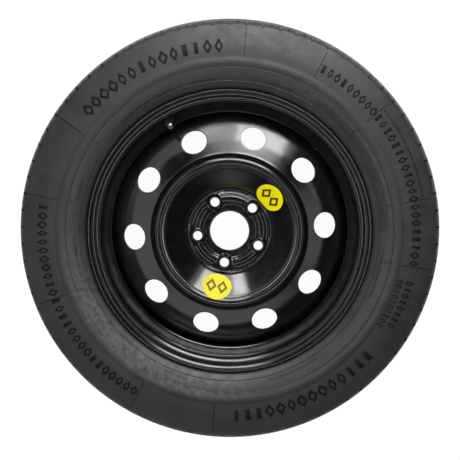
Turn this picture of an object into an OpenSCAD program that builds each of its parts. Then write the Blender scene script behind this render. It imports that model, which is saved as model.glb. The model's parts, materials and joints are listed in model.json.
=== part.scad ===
// Space saver spare wheel, lying flat with its outboard face up.
// The origin is the centre of the hub mounting face, and +Z is the wheel's axis, outboard.
// Seen from above, +Y is 12 o'clock and +X is 3 o'clock.

/* [Tyre] */
// Outer diameter of the tyre
tyre_od = 711; // [690:1:730]
// Width of the tyre at its widest
section_w = 155; // [148:1:165]
// Width of the tread between its shoulder edges
tread_w = 118; // [106:1:122]
// Drop of the tread from its middle to its shoulder edges
crown_drop = 6; // [3:0.5:9]
// Thickness of the casing under the tread
crown_t = 13; // [11:0.5:16]
// Thickness of the sidewall
side_t = 7; // [5:0.5:9]
// Distance of the shoulder line below the outer diameter, along the radius
shoulder_line_h = 11.5; // [9:0.5:14]
// Number of circumferential tread grooves
groove_count = 3; // [1:1:4]
// Distance between the tread grooves
groove_pitch = 27; // [20:1:28]
// Width of a tread groove
groove_w = 7; // [4:0.5:9]
// Depth of a tread groove
groove_d = 6; // [3:0.5:7]
// Number of shoulder notches on each side
notch_count = 77; // [40:1:90]
// Width of a shoulder notch
notch_w = 3.5; // [2:0.5:5]
// Depth of a shoulder notch
notch_d = 4.5; // [2:0.5:6]
// Distance of a shoulder notch's inner end from the shoulder edge
notch_reach = 13; // [8:1:15]

/* [Rim] */
// Diameter at the bead seats
bead_d = 436.6; // [434:0.2:440]
// Width between the two bead faces
rim_w = 101.6; // [96:0.1:108]
// Distance of the hub mounting face outboard of the rim's middle
inset = 40; // [34:1:46]
// Thickness of the rolled rim
rim_t = 2.6; // [2.2:0.1:3]
// Height of a flange above the bead seat
flange_h = 18.7; // [17.3:0.1:20]
// Distance that a flange's lip stands outside its bead face
lip_w = 13; // [11:0.5:15]
// Radius of a flange's curve on the tyre side
flange_curve = 9.5; // [9:0.5:10.5]
// Radius between a bead face and its seat
heel_curve = 6.5; // [6:0.5:8]
// Length of a bead seat from its face to the hump
seat_w = 17; // [16:0.5:20]
// Taper of a bead seat, in degrees
seat_taper = 5; // [4:0.5:6]
// Height of the safety hump above the end of the seat
hump_h = 1.4; // [0.8:0.1:2]
// Depth of the well below the bead seat
well_depth = 17.4; // [16.5:0.1:19]
// Slope of the outboard ramp from the radial plane, in degrees
ramp_slope = 16; // [12:1:20]
// Slope of the inboard ramp from the radial plane, in degrees
inner_ramp_slope = 27; // [22:1:34]

/* [Disc] */
// Thickness of the pressed disc
disc_t = 3.5; // [3:0.1:4]
// Diameter of the centre bore
bore_d = 65.1; // [57:0.1:72]
// Diameter of the circle of stud holes
pcd = 108; // [104:0.5:112]
// Number of stud holes
stud_count = 5; // [4:1:5]
// Angle of the first stud hole, clockwise from 12 o'clock
stud_angle = 45.2; // [0:0.1:72]
// Diameter of a stud hole
stud_hole_d = 14.8; // [13:0.1:15.5]
// Width of the conical nut seat around a stud hole
seat_ring = 1.6; // [1:0.1:2]
// Half angle of the conical nut seat, in degrees
seat_half_angle = 30; // [25:1:45]
// Radius of a stud boss at its top
boss_r = 10.4; // [9.8:0.1:11]
// Radius that a stud boss gains down to its foot
boss_flare = 3.6; // [2:0.1:4]
// Height of a stud boss above the hub floor
boss_h = 7; // [5.5:0.1:8]
// Thickness of the metal around a stud hole
boss_t = 4.6; // [4:0.1:5]
// Height of the ring ridge that the stud bosses stand on
ridge_h = 4.5; // [3:0.1:5]
// Width of the ring ridge at its top
ridge_w = 10; // [8:0.5:12]
// Radial width of the ring ridge's two slopes
ridge_slope_w = 3.6; // [3:0.1:4.5]
// Height of the ledge outside the ring ridge
ledge_h = 1.8; // [1:0.1:2.4]
// Radial width of the ledge outside the ring ridge
ledge_w = 3; // [2:0.1:4]
// Radius of the hub pad, where the dish begins
hub_r = 70.5; // [69.5:0.1:74]
// Height of the steep step from the hub floor to the dish
hub_step_h = 6; // [4:0.1:9]
// Radial width of the dish
dish_w = 35; // [32:0.5:38]
// Height of the dish
dish_h = 28.5; // [24:0.5:33]
// Radial width of the flat rim inside the crest
brim_w = 3.4; // [2:0.1:5]
// Height of the crest above the flat rim
crest_h = 1.8; // [1:0.1:3]
// Radial width of the crest
crest_w = 9; // [7:0.5:12]
// Radial width of the steep wall outside the crest
wall_w = 8.5; // [7:0.5:11]
// Height of the steep wall outside the crest
wall_h = 13; // [10:0.5:16]
// Height of the vent band's outer edge above the hub mounting face
band_out_z = -5; // [-10:0.5:0]
// Rise of the vent band's middle above a straight slope
band_crown = 2; // [0.5:0.5:4]
// Radial distance from the vent band's outer edge to the rim's well
band_gap = 12; // [10:0.5:15]
// Length of the disc's flange in the well
flange_len = 27; // [24:1:30]
// Number of vent holes
vent_count = 10; // [6:1:12]
// Angle of the first vent hole, clockwise from 12 o'clock
vent_angle = 14.4; // [0:0.1:36]
// Diameter of a vent hole
vent_d = 43; // [30:1:46]
// Radius of the circle of vent holes
vent_r = 160; // [157:0.5:163]
// Number of weld runs between disc and rim
weld_count = 8; // [4:1:10]
// Length of a weld run, in degrees
weld_arc = 22; // [12:1:30]
// Leg of the weld's section
weld_leg = 3.4; // [2.5:0.1:4]

/* [Valve] */
// Angle of the valve, clockwise from 12 o'clock
valve_angle = 330.6; // [0:0.1:360]
// Diameter of the valve hole
valve_hole_d = 11.3; // [10.8:0.1:11.8]
// Length of the valve outside the rim
valve_out = 29; // [27:0.5:32]
// Length of the bare threaded end of the valve stem
stem_bare = 10; // [9:0.5:11]
// Thread diameter of the valve stem
stem_d = 7.7; // [7.6:0.1:7.9]
// Diameter of the rubber collar on the rim
collar_d = 14.2; // [13:0.1:15]
// Height of the rubber collar above the rim
collar_h = 2.6; // [2:0.1:3]
// Diameter of the rubber neck at its end
neck_end_d = 10.4; // [10:0.1:11]
// Diameter of the rubber bulb behind the rim
bulb_d = 15; // [14:0.1:15.4]
// Length of the rubber bulb behind the rim
bulb_len = 8.5; // [7.5:0.1:9.5]
// Thread diameter of the valve core
core_d = 5.2; // [5:0.1:5.4]
// Diameter of the core's pin
pin_d = 1.5; // [1.3:0.1:1.6]
// Travel of the pin when it is pressed
pin_travel = 1.2; // [0.8:0.1:1.5]
// Wire diameter of the core's spring
wire_d = 0.4; // [0.3:0.05:0.45]

/* [Labels] */
// Diameter of a round label
label_d = 49.5; // [40:0.5:50]
// Thickness of a round label
label_t = 0.2; // [0.1:0.05:0.3]
// Angle of the upper label, clockwise from 12 o'clock
upper_label_angle = 49.8; // [0:0.1:360]
// Distance of the upper label's middle from the wheel's axis
upper_label_r = 89; // [88:0.5:94]
// Angle of the lower label, clockwise from 12 o'clock
lower_label_angle = 193; // [0:0.1:360]
// Distance of the lower label's middle from the wheel's axis
lower_label_r = 94; // [88:0.5:94]

/* [Fits] */
// Gap between tyre and rim
bead_gap = 0.15; // [0.1:0.05:0.3]
// Gap between pieces that are pressed or stuck together
seat_gap = 0.05; // [0.02:0.01:0.1]
// Radial running clearance of the core's pin
pin_gap = 0.08; // [0.05:0.01:0.1]

/* [Hidden] */
$fn = 120;
arc_step = 12;
arc_chord = 6;
rubber_colour = [0.13, 0.13, 0.13];
paint_colour = [0.05, 0.05, 0.05];
nickel_colour = [0.75, 0.73, 0.68];
brass_colour = [0.72, 0.58, 0.3];
label_colour = [1, 0.93, 0];
cut = 1;

// Rim places along the axis
mid_z = -inset;
seat_r = bead_d / 2;
flange_r = seat_r + flange_h;
flange_mid_r = flange_r - flange_curve;
seat_drop = seat_w * tan(seat_taper);
hump_r = seat_r - seat_drop + hump_h;
hump_w = 4.6;
hump_curve = rim_t + 0.5;
well_curve = 3;
hump_s = rim_w / 2 - seat_w - hump_w;
well_r = seat_r - well_depth;
ramp_s = hump_s - (hump_r - well_r) * tan(ramp_slope);
inner_ramp_s = hump_s - (hump_r - well_r) * tan(inner_ramp_slope);
well_in_r = well_r - rim_t;

// Disc places, from the bore outwards
stud_r = pcd / 2;
ridge_in = stud_r - ridge_w / 2;
ridge_out = stud_r + ridge_w / 2;
floor_in = ridge_in - ridge_slope_w;
ledge_in = ridge_out + ridge_slope_w * (ridge_h - ledge_h) / ridge_h;
ledge_out = ledge_in + ledge_w;
ledge_foot = ledge_out + ledge_h;
hub_step_w = 3;
dish_in = hub_r + hub_step_w;
dish_in_z = disc_t + hub_step_h;
dish_out = dish_in + dish_w;
dish_out_z = dish_in_z + dish_h;
brim_rise = 0.5;
brim_out = dish_out + brim_w;
brim_z = dish_out_z + brim_rise;
crest_in = brim_out + crest_h;
crest_z = brim_z + crest_h;
crest_out = crest_in + crest_w;
band_in = crest_out + wall_w;
band_in_z = crest_z - wall_h;
disc_r = well_in_r - seat_gap;
band_out = disc_r - band_gap;
band_mid = (band_in + band_out) / 2;
band_mid_z = (band_in_z + band_out_z) / 2 + band_crown;
disc_end_z = mid_z - 16;
disc_turn_z = disc_end_z + flange_len;
boss_z = disc_t + boss_h;
seat_depth = seat_ring / tan(seat_half_angle);
vent_slope = atan2(band_in_z - band_out_z, band_out - band_in);
vent_z = band_mid_z - (vent_r - band_mid) * tan(vent_slope);

// Valve places along its own axis, from the ramp's air side
collar_room = 0.9;
valve_hole_r = hump_r - rim_t - collar_d / 2 - collar_room;
valve_hole_z = mid_z + hump_s - (hump_r - valve_hole_r) * tan(ramp_slope) + rim_t / cos(ramp_slope);
stem_end = valve_out;
rubber_end = valve_out - stem_bare;
neck_round = 0.5;
bulb_foot = -rim_t - bulb_len;
stem_foot = bulb_foot + 1.5;
stem_body_d = stem_d - 0.7;
stem_chamfer = 0.5;
bridge_t = 1;
ledge_t = 0.8;
collar_t = 0.5;
collar_rest = 0.15;
core_top = stem_end - 1.4;
spring_turns = 5;
spring_spare = 1.7;
spring_top = core_top - bridge_t - collar_rest - collar_t;
spring_low = spring_top - spring_turns * wire_d - spring_spare - pin_travel;
core_shoulder = spring_low - ledge_t;
gasket_h = 1.6;
core_neck = core_shoulder - gasket_h;
core_foot = core_neck - 6;
neck_d = 3.5;
lower_bore_d = 4.6;
spring_bore_d = 3.2;
spring_d = 2.9;
pin_hole_d = pin_d + 2 * pin_gap;
ring_t = 1;
cup_h = 2.6;
pin_tip = stem_end - 0.5;
pin_foot = core_foot - ring_t - cup_h;

// Tyre places
crown_r = tyre_od / 2;
edge_s = tread_w / 2;
shoulder_line_r = crown_r - shoulder_line_h;
side_s = section_w / 2;

function unit(v) = v / norm(v);
function flat(v) = [v.x, v.y];
function cross2(a, b) = a.x * b.y - a.y * b.x;
function turned(v) = [-v.y, v.x];

// Points of the arc with radius b[2] that rounds the corner b between a and c
function corner(a, b, c) = b[2] == 0 ? [flat(b)] :
    let (
        u = unit(flat(a) - flat(b)),
        w = unit(flat(c) - flat(b)),
        half = acos(u * w) / 2,
        centre = flat(b) + unit(u + w) * b[2] / sin(half),
        from = flat(b) + u * b[2] / tan(half) - centre,
        sweep = (180 - 2 * half) * sign(cross2(u, w)) * -1,
        steps = max(3, ceil(abs(sweep) / arc_step), ceil(b[2] * abs(sweep) * PI / 180 / arc_chord))
    )
    [for (i = [0:steps]) let (t = sweep * i / steps)
        centre + [from.x * cos(t) - from.y * sin(t), from.x * sin(t) + from.y * cos(t)]];

// A path of [radius, height, corner radius] with its corners rounded
function rounded(path) = let (last = len(path) - 1) [
    flat(path[0]),
    for (i = [1:last - 1]) each corner(path[i - 1], path[i], path[i + 1]),
    flat(path[last])
];

// The same path moved sideways by t, to its left when t is positive
function beside(path, t) = let (last = len(path) - 1) [
    for (i = [0:last]) let (
        u = unit(flat(path[min(i + 1, last)]) - flat(path[min(i, last - 1)])),
        w = unit(flat(path[max(i, 1)]) - flat(path[max(i - 1, 0)])),
        shift = (turned(u) + turned(w)) / (1 + u * w) * t,
        side = sign(cross2(w, u)) * sign(t)
    )
    [path[i].x + shift.x, path[i].y + shift.y, path[i][2] == 0 ? 0 : path[i][2] - side * abs(t)]
];

function reversed(list) = [for (i = [len(list) - 1:-1:0]) list[i]];
function mirrored(list) = [for (p = list) [p[0], -p[1], p[2]]];

// A closed outline of even thickness t on the left of a path
function sheet(path, t) = concat(rounded(path), reversed(rounded(beside(path, t))));

// Turns its children clockwise from 12 o'clock, where they are drawn towards +X
module at_angle(a) {
    rotate([0, 0, 90 - a]) children();
}

// Outline of half of the tyre's outer side, from the middle of the tread to the bead
function crown_at(s) = crown_r - crown_drop * pow(s / edge_s, 2);
tread_steps = 6;
tread_path = [for (i = [0:tread_steps]) let (s = edge_s * i / tread_steps) [crown_at(s), s, i == tread_steps ? 7 : 0]];
flange_hug = 50;
hug_steps = 4;
hug_r = flange_curve + bead_gap;
side_path = [
    [shoulder_line_r - 2, side_s - 13, 24],
    [crown_r - 50, side_s, 145],
    [flange_r + 27, side_s, 62],
    [flange_r + 3.2, side_s - 11, 9],
    [flange_r + 1.4, rim_w / 2 + 6.5, 3],
    for (i = [hug_steps:-1:0]) let (a = flange_hug * i / hug_steps)
        [flange_mid_r + hug_r * sin(a), rim_w / 2 + flange_curve - hug_r * cos(a), 0],
    [seat_r + bead_gap, rim_w / 2 - bead_gap, heel_curve + 0.5],
];
bead_w = 16.5;
toe_path = [[seat_r + bead_gap - bead_w * tan(seat_taper), rim_w / 2 - bead_w, 1.5]];
inner_path = [
    [seat_r + 11, rim_w / 2 - 13, 9],
    [flange_r + 5, side_s - side_t - 19, 14],
    [flange_r + 27, side_s - side_t, 40],
    [crown_r - 50, side_s - side_t, 110],
    [crown_r - crown_t - 7, edge_s - 4, 16],
    [crown_r - crown_t, 14, 60],
];
outer_half = concat(tread_path, side_path, toe_path);
tyre_half = concat(outer_half, inner_path);
tyre_path = concat(tyre_half, [[crown_r - crown_t, 0, 0]]);

module tyre_ring(side) {
    points = rounded(tyre_path);
    translate([0, 0, mid_z])
        rotate_extrude()
            polygon([for (p = points) [p.x, side * p.y]]);
}

module tread_grooves() {
    for (i = [0:groove_count - 1]) {
        s = (i - (groove_count - 1) / 2) * groove_pitch;
        translate([0, 0, mid_z + s - groove_w / 2])
            difference() {
                cylinder(h = groove_w, r = crown_r + cut);
                translate([0, 0, -cut])
                    cylinder(h = groove_w + 2 * cut, r = crown_at(s) - groove_d);
            }
    }
}

// One notch, drawn towards +X, from the tread over the shoulder to the shoulder line
module shoulder_notch(side) {
    inner_s = edge_s - notch_reach;
    floor_r = crown_at(inner_s) - notch_d;
    translate([0, 0, mid_z])
        rotate([90, 0, 0])
            linear_extrude(height = notch_w, center = true)
                polygon([
                    [floor_r, side * inner_s],
                    [crown_r + cut, side * inner_s],
                    [crown_r + cut, side * (side_s + cut)],
                    [shoulder_line_r, side * (side_s + cut)],
                    [shoulder_line_r, side * (edge_s - 2)],
                ]);
}

module tyre() {
    color(rubber_colour)
        difference() {
            union() {
                tyre_ring(1);
                tyre_ring(-1);
            }
            tread_grooves();
            for (i = [0:notch_count - 1]) {
                at_angle(i * 360 / notch_count) shoulder_notch(1);
                at_angle((i + 0.5) * 360 / notch_count) shoulder_notch(-1);
            }
        }
}

// The rim's tyre side from its outboard lip to its inboard lip
function rim_half(ramp) = [
    [flange_r, rim_w / 2 + lip_w, 0],
    [flange_r, rim_w / 2, flange_curve],
    [seat_r, rim_w / 2, heel_curve],
    [seat_r - seat_drop, rim_w / 2 - seat_w, 3.5],
    [hump_r, hump_s, hump_curve],
    [well_r, ramp, well_curve],
];
rim_path = [for (p = concat(rim_half(ramp_s), reversed(mirrored(rim_half(inner_ramp_s))))) [p[0], p[1] + mid_z, p[2]]];

// Stands its children on the valve's axis, with the ramp's air side at height 0
module on_valve_axis() {
    at_angle(valve_angle)
        translate([valve_hole_r, 0, valve_hole_z])
            rotate([0, -ramp_slope, 0])
                children();
}

module rim() {
    color(paint_colour)
        difference() {
            rotate_extrude()
                polygon(sheet(rim_path, -rim_t));
            on_valve_axis()
                translate([0, 0, -2 * rim_t])
                    cylinder(h = 3 * rim_t, d = valve_hole_d);
        }
}

// The disc's outboard side from the bore to the end of its flange
hub_path = [
    [bore_d / 2, disc_t, 0],
    [floor_in, disc_t, 3],
    [ridge_in, disc_t + ridge_h, 5],
    [ridge_out, disc_t + ridge_h, 5],
    [ledge_in, disc_t + ledge_h, 1.2],
    [ledge_out, disc_t + ledge_h, 4.5],
    [ledge_foot, disc_t, 1.2],
];
dish_path = [
    [hub_r, disc_t, 1.2],
    [dish_in, dish_in_z, 5.5],
    [dish_out, dish_out_z, 6],
    [brim_out, brim_z, 1],
    [crest_in, crest_z, 4.5],
];
band_path = [
    [crest_out, crest_z, 6],
    [band_in, band_in_z, 4],
    [band_mid, band_mid_z, 150],
    [band_out, band_out_z, 9],
    [disc_r, disc_turn_z, 12],
    [disc_r, disc_end_z, 0],
];
disc_path = concat(hub_path, dish_path, band_path);

module stud_boss() {
    translate([stud_r, 0, disc_t / 2])
        cylinder(h = boss_z - disc_t / 2, r1 = boss_r + boss_flare, r2 = boss_r);
}

module stud_hole() {
    translate([stud_r, 0, 0]) {
        translate([0, 0, -cut])
            cylinder(h = boss_z + 2 * cut, d = stud_hole_d);
        translate([0, 0, boss_z - seat_depth])
            cylinder(h = seat_depth, r1 = stud_hole_d / 2, r2 = stud_hole_d / 2 + seat_ring);
        translate([0, 0, -cut])
            cylinder(h = boss_z - boss_t + cut, r = boss_r - 0.6);
    }
}

module vent_hole() {
    translate([vent_r, 0, vent_z])
        rotate([0, vent_slope, 0])
            translate([0, 0, -4 * disc_t])
                cylinder(h = 8 * disc_t, d = vent_d);
}

module disc() {
    color(paint_colour)
        difference() {
            union() {
                rotate_extrude()
                    polygon(sheet(disc_path, -disc_t));
                for (i = [0:stud_count - 1]) at_angle(stud_angle + i * 360 / stud_count) stud_boss();
            }
            for (i = [0:stud_count - 1]) at_angle(stud_angle + i * 360 / stud_count) stud_hole();
            for (i = [0:vent_count - 1]) at_angle(vent_angle + i * 360 / vent_count) vent_hole();
        }
}

// Fillet welds between the end of the disc's flange and the rim's well
module rim_welds() {
    color(paint_colour)
        for (i = [0:weld_count - 1])
            at_angle(i * 360 / weld_count)
                rotate_extrude(angle = weld_arc)
                    translate([disc_r, disc_end_z - seat_gap])
                        polygon([[0, 0], [-weld_leg, 0], [-0.62 * weld_leg, -0.62 * weld_leg], [0, -weld_leg]]);
}

module valve_rubber() {
    color(rubber_colour)
        on_valve_axis()
            difference() {
                rotate_extrude()
                    polygon([
                        [0, bulb_foot],
                        [bulb_d / 2 - 2, bulb_foot],
                        [bulb_d / 2 - 0.5, bulb_foot + 0.5 * bulb_len],
                        [bulb_d / 2, bulb_foot + 0.65 * bulb_len],
                        [bulb_d / 2, bulb_foot + 0.78 * bulb_len],
                        [bulb_d / 2 - 0.9, -rim_t - 0.7],
                        [valve_hole_d / 2 + 0.25, -rim_t - seat_gap],
                        [valve_hole_d / 2 - seat_gap, -rim_t - seat_gap],
                        [valve_hole_d / 2 - seat_gap, seat_gap],
                        [collar_d / 2, seat_gap],
                        [collar_d / 2, 0.5 * collar_h],
                        [collar_d / 2 - 0.4, 0.8 * collar_h],
                        [collar_d / 2 - 1, collar_h],
                        [neck_end_d / 2 + 0.5, 2.2 * collar_h],
                        [neck_end_d / 2, rubber_end - neck_round],
                        [neck_end_d / 2 - neck_round, rubber_end],
                        [0, rubber_end],
                    ]);
                translate([0, 0, bulb_foot - cut])
                    cylinder(h = rubber_end - bulb_foot + 2 * cut, d = stem_body_d + 2 * seat_gap);
            }
}

// The plated tube with the outer thread, the core's seat and the air way
module valve_stem() {
    color(nickel_colour)
        on_valve_axis()
            difference() {
                union() {
                    translate([0, 0, stem_foot])
                        cylinder(h = rubber_end - stem_foot + cut / 2, d = stem_body_d);
                    translate([0, 0, rubber_end])
                        cylinder(h = stem_bare - stem_chamfer, d = stem_d);
                    translate([0, 0, stem_end - stem_chamfer])
                        cylinder(h = stem_chamfer, d1 = stem_d, d2 = stem_d - 2 * stem_chamfer);
                }
                translate([0, 0, core_shoulder])
                    cylinder(h = stem_end - core_shoulder + cut, d = core_d + 2 * seat_gap);
                translate([0, 0, core_neck])
                    cylinder(h = gasket_h, d1 = lower_bore_d, d2 = core_d + 2 * seat_gap);
                translate([0, 0, stem_foot - cut])
                    cylinder(h = core_neck - stem_foot + 2 * cut, d = lower_bore_d);
            }
}

// The core's body: threaded head with a slotted bridge, and a thin neck below
module core_barrel() {
    slot_w = 1.1;
    color(brass_colour)
        on_valve_axis()
            difference() {
                union() {
                    translate([0, 0, core_shoulder])
                        cylinder(h = core_top - core_shoulder, d = core_d);
                    translate([0, 0, core_foot])
                        cylinder(h = core_shoulder - core_foot + cut, d = neck_d);
                }
                translate([0, 0, core_foot - cut])
                    cylinder(h = core_top - core_foot + 2 * cut, d = pin_hole_d);
                translate([0, 0, spring_low])
                    cylinder(h = core_top - bridge_t - spring_low, d = spring_bore_d);
                for (side = [-1, 1])
                    translate([side * (core_d / 2 + slot_w / 2), 0, core_top - 2])
                        cube([2 * slot_w, core_d, 4 + cut], center = true);
            }
}

// The sealing ring that sits between the core and the stem's cone
module core_gasket() {
    color("white")
        on_valve_axis()
            difference() {
                translate([0, 0, core_neck + seat_gap])
                    cylinder(h = gasket_h - 2 * seat_gap, d1 = lower_bore_d - 2 * seat_gap, d2 = core_d - 2 * seat_gap);
                translate([0, 0, core_neck - cut])
                    cylinder(h = gasket_h + 2 * cut, d = neck_d + 2 * seat_gap);
            }
}

module core_pin() {
    color(brass_colour)
        on_valve_axis() {
            translate([0, 0, pin_foot])
                cylinder(h = pin_tip - pin_foot, d = pin_d);
            translate([0, 0, spring_top])
                cylinder(h = collar_t, d = spring_d - 0.1);
        }
}

module core_cup() {
    color(brass_colour)
        on_valve_axis()
            difference() {
                translate([0, 0, pin_foot])
                    cylinder(h = cup_h, d1 = neck_d - 0.6, d2 = neck_d + 0.3);
                translate([0, 0, pin_foot - cut])
                    cylinder(h = cup_h + 2 * cut, d = pin_d + 2 * seat_gap);
            }
}

module core_seat_ring() {
    color(rubber_colour)
        on_valve_axis()
            difference() {
                translate([0, 0, core_foot - ring_t + seat_gap])
                    cylinder(h = ring_t - 2 * seat_gap, d = neck_d + 0.2);
                translate([0, 0, core_foot - ring_t - cut])
                    cylinder(h = ring_t + 2 * cut, d = pin_d + 2 * seat_gap);
            }
}

// Five turns of wire, each drawn as a closed ring, between the core's ledge and the pin's collar
module core_spring() {
    low = spring_low + wire_d / 2 + seat_gap;
    pitch = (spring_top - seat_gap - wire_d / 2 - low) / (spring_turns - 1);
    color("silver")
        on_valve_axis()
            for (i = [0:spring_turns - 1])
                translate([0, 0, low + i * pitch])
                    rotate_extrude($fn = 48)
                        translate([(spring_d - wire_d) / 2, 0])
                            circle(d = wire_d, $fn = 16);
}

// A round label stuck on the dish, which bends with it at the hub pad and at the crest
module label(angle, mid_r) {
    slope = atan2(dish_h, dish_w);
    mid_label_z = dish_in_z + (mid_r - dish_in) * tan(slope);
    face_path = concat([[ledge_foot, disc_t, 0]], dish_path, [[crest_out, crest_z, 0]]);
    color(label_colour)
        intersection() {
            rotate_extrude()
                polygon(sheet(beside(face_path, seat_gap), label_t));
            at_angle(angle)
                translate([mid_r, 0, mid_label_z])
                    rotate([0, -slope, 0])
                        translate([0, 0, -label_d / 4])
                            cylinder(h = label_d / 2, d = label_d);
        }
}

module upper_label() {
    label(upper_label_angle, upper_label_r);
}

module lower_label() {
    label(lower_label_angle, lower_label_r);
}

tyre();
rim();
disc();
rim_welds();
valve_rubber();
valve_stem();
core_barrel();
core_gasket();
core_pin();
core_cup();
core_seat_ring();
core_spring();
upper_label();
lower_label();
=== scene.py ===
# %% [markdown]
# # A space saver spare wheel
# The wheel lies on its back, outboard face up: a slim tyre on a black pressed steel wheel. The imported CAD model
# gives every size and place. This lesson gives the pieces their smooth surfaces, their small detail and their finish.

# %% Load the frame
import json
import math

import bpy
import numpy as np
from mathutils import Matrix, Vector

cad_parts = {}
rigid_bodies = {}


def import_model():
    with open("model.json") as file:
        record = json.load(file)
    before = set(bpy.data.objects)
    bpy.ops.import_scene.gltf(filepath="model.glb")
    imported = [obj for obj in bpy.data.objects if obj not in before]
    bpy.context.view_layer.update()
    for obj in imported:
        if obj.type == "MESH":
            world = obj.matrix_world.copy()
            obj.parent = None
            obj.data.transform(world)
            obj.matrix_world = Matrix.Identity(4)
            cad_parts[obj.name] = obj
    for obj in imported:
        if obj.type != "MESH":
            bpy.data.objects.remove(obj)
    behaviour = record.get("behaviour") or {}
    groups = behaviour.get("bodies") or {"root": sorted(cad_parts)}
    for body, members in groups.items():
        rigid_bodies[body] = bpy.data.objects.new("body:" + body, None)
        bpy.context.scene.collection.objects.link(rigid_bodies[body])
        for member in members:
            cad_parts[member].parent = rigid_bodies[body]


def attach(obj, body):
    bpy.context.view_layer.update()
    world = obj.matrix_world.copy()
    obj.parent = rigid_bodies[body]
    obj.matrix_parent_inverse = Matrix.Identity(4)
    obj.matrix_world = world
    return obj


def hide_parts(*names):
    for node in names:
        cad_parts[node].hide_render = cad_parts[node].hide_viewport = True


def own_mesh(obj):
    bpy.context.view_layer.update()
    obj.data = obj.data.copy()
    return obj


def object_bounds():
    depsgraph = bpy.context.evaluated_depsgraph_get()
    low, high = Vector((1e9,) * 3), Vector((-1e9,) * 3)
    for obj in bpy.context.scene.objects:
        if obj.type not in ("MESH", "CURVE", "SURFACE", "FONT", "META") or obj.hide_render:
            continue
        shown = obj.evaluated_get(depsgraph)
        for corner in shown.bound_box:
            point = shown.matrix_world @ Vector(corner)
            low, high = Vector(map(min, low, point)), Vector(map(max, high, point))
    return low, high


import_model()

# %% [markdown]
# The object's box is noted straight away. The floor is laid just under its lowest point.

MM = 0.001
cad_low, cad_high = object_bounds()
print("CAD box in mm:", [round(v / MM, 1) for v in (*cad_low, *cad_high)])

# %% [markdown]
# The camera stands 2.8 m above the wheel and leans a little towards 12 o'clock, as the photograph does. Image up is
# +Y. Its lens comes from the scale that the tyre has in the picture.

# %% Camera
CAMERA_DISTANCE = 2.8
LEAN_UP = math.radians(5)
LEAN_RIGHT = math.radians(0.78)
AIM = Vector((0.0007, 0.0006, 0))
PICTURE_SIDE = 460
FOCAL_PIXELS = 1662
SENSOR = 36

back = Vector((math.tan(LEAN_RIGHT), math.tan(LEAN_UP), 1)).normalized()
image_up = (Vector((0, 1, 0)) - back * back.y).normalized()
camera_data = bpy.data.cameras.new("camera")
camera_data.sensor_width = SENSOR
camera_data.lens = FOCAL_PIXELS * SENSOR / PICTURE_SIDE
camera_data.clip_end = 50
camera = bpy.data.objects.new("camera", camera_data)
camera.location = AIM + back * CAMERA_DISTANCE
camera.rotation_mode = "QUATERNION"
camera.rotation_quaternion = Matrix((image_up.cross(back), image_up, back)).transposed().to_quaternion()
bpy.context.scene.collection.objects.link(camera)
bpy.context.scene.camera = camera
print("camera at", [round(v, 3) for v in camera.location], "with a lens of", round(camera_data.lens, 1), "mm")

# %% [markdown]
# ## Sections as paths
# Rim, disc and tyre are all bodies of revolution. Each has a section drawn as a path of (radius, height, corner
# radius) in millimetres. A path could be traced point by point, but corner radii keep it short and easy to change.

# %% Round the corners of a path
ARC_STEP = 15


def unit(v):
    return v / np.linalg.norm(v)


def turned(v, angle):
    c, s = math.cos(angle), math.sin(angle)
    return np.array([v[0] * c - v[1] * s, v[0] * s + v[1] * c])


def rounded(path, step=ARC_STEP, least=3):
    """The path's points, with an arc of at least so many steps at each corner that has a radius."""
    points = [np.array(path[0][:2], float)]
    for before, at, after in zip(path, path[1:], path[2:]):
        corner, radius = np.array(at[:2], float), at[2]
        if radius == 0:
            points.append(corner)
            continue
        u = unit(np.array(before[:2]) - corner)
        w = unit(np.array(after[:2]) - corner)
        half = math.acos(np.clip(u @ w, -1, 1)) / 2
        centre = corner + unit(u + w) * radius / math.sin(half)
        start = corner + u * radius / math.tan(half) - centre
        sweep = -(math.pi - 2 * half) * np.sign(u[0] * w[1] - u[1] * w[0])
        count = max(least, math.ceil(abs(math.degrees(sweep)) / step))
        points += [centre + turned(start, sweep * k / count) for k in range(count + 1)]
    points.append(np.array(path[-1][:2], float))
    return np.array(points)


def spaced(points, gap):
    """The same points with more between them, so that no two lie further apart than gap."""
    rows = [points[0]]
    for a, b in zip(points, points[1:]):
        count = max(1, math.ceil(np.linalg.norm(b - a) / gap - 1e-6))
        rows += [a + (b - a) * k / count for k in range(1, count + 1)]
    return np.array(rows)


def lengths(rows):
    """Distance of each row from the first one, along the path."""
    return np.concatenate([[0], np.cumsum(np.linalg.norm(np.diff(rows, axis=0), axis=1))])


print("a right angle rounded at 5 mm has", len(rounded([(0, 0, 0), (20, 0, 5), (20, 20, 0)])), "points")

# %% [markdown]
# ## A pressed sheet with holes
# Steel this thin is best made as one skin of quads that a Solidify modifier thickens. The skin is a polar grid. Around
# each hole a patch of the grid is taken out and filled with rings that follow the hole, so that its edge is truly
# round. Cutting with a Boolean would be shorter, but it leaves slivers that show in glossy paint.

# %% Skin builder
FAN_STEPS = 3


class Hole:
    """A round hole in a skin. Rings are (radius, drop) from the outermost to the hole's own edge."""

    def __init__(self, angle, radius, height, tilt, reach, spread, rings, shape=None):
        self.angle, self.radius, self.height, self.tilt = math.radians(angle), radius, height, math.radians(tilt)
        self.reach, self.spread, self.rings = reach, math.radians(spread), rings
        self.shape = shape or (lambda rho, base: base)


def clock(radius, angle, height):
    """The point at a clockwise angle from 12 o'clock, in metres."""
    return (radius * math.sin(angle) * MM, radius * math.cos(angle) * MM, height * MM)


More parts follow.
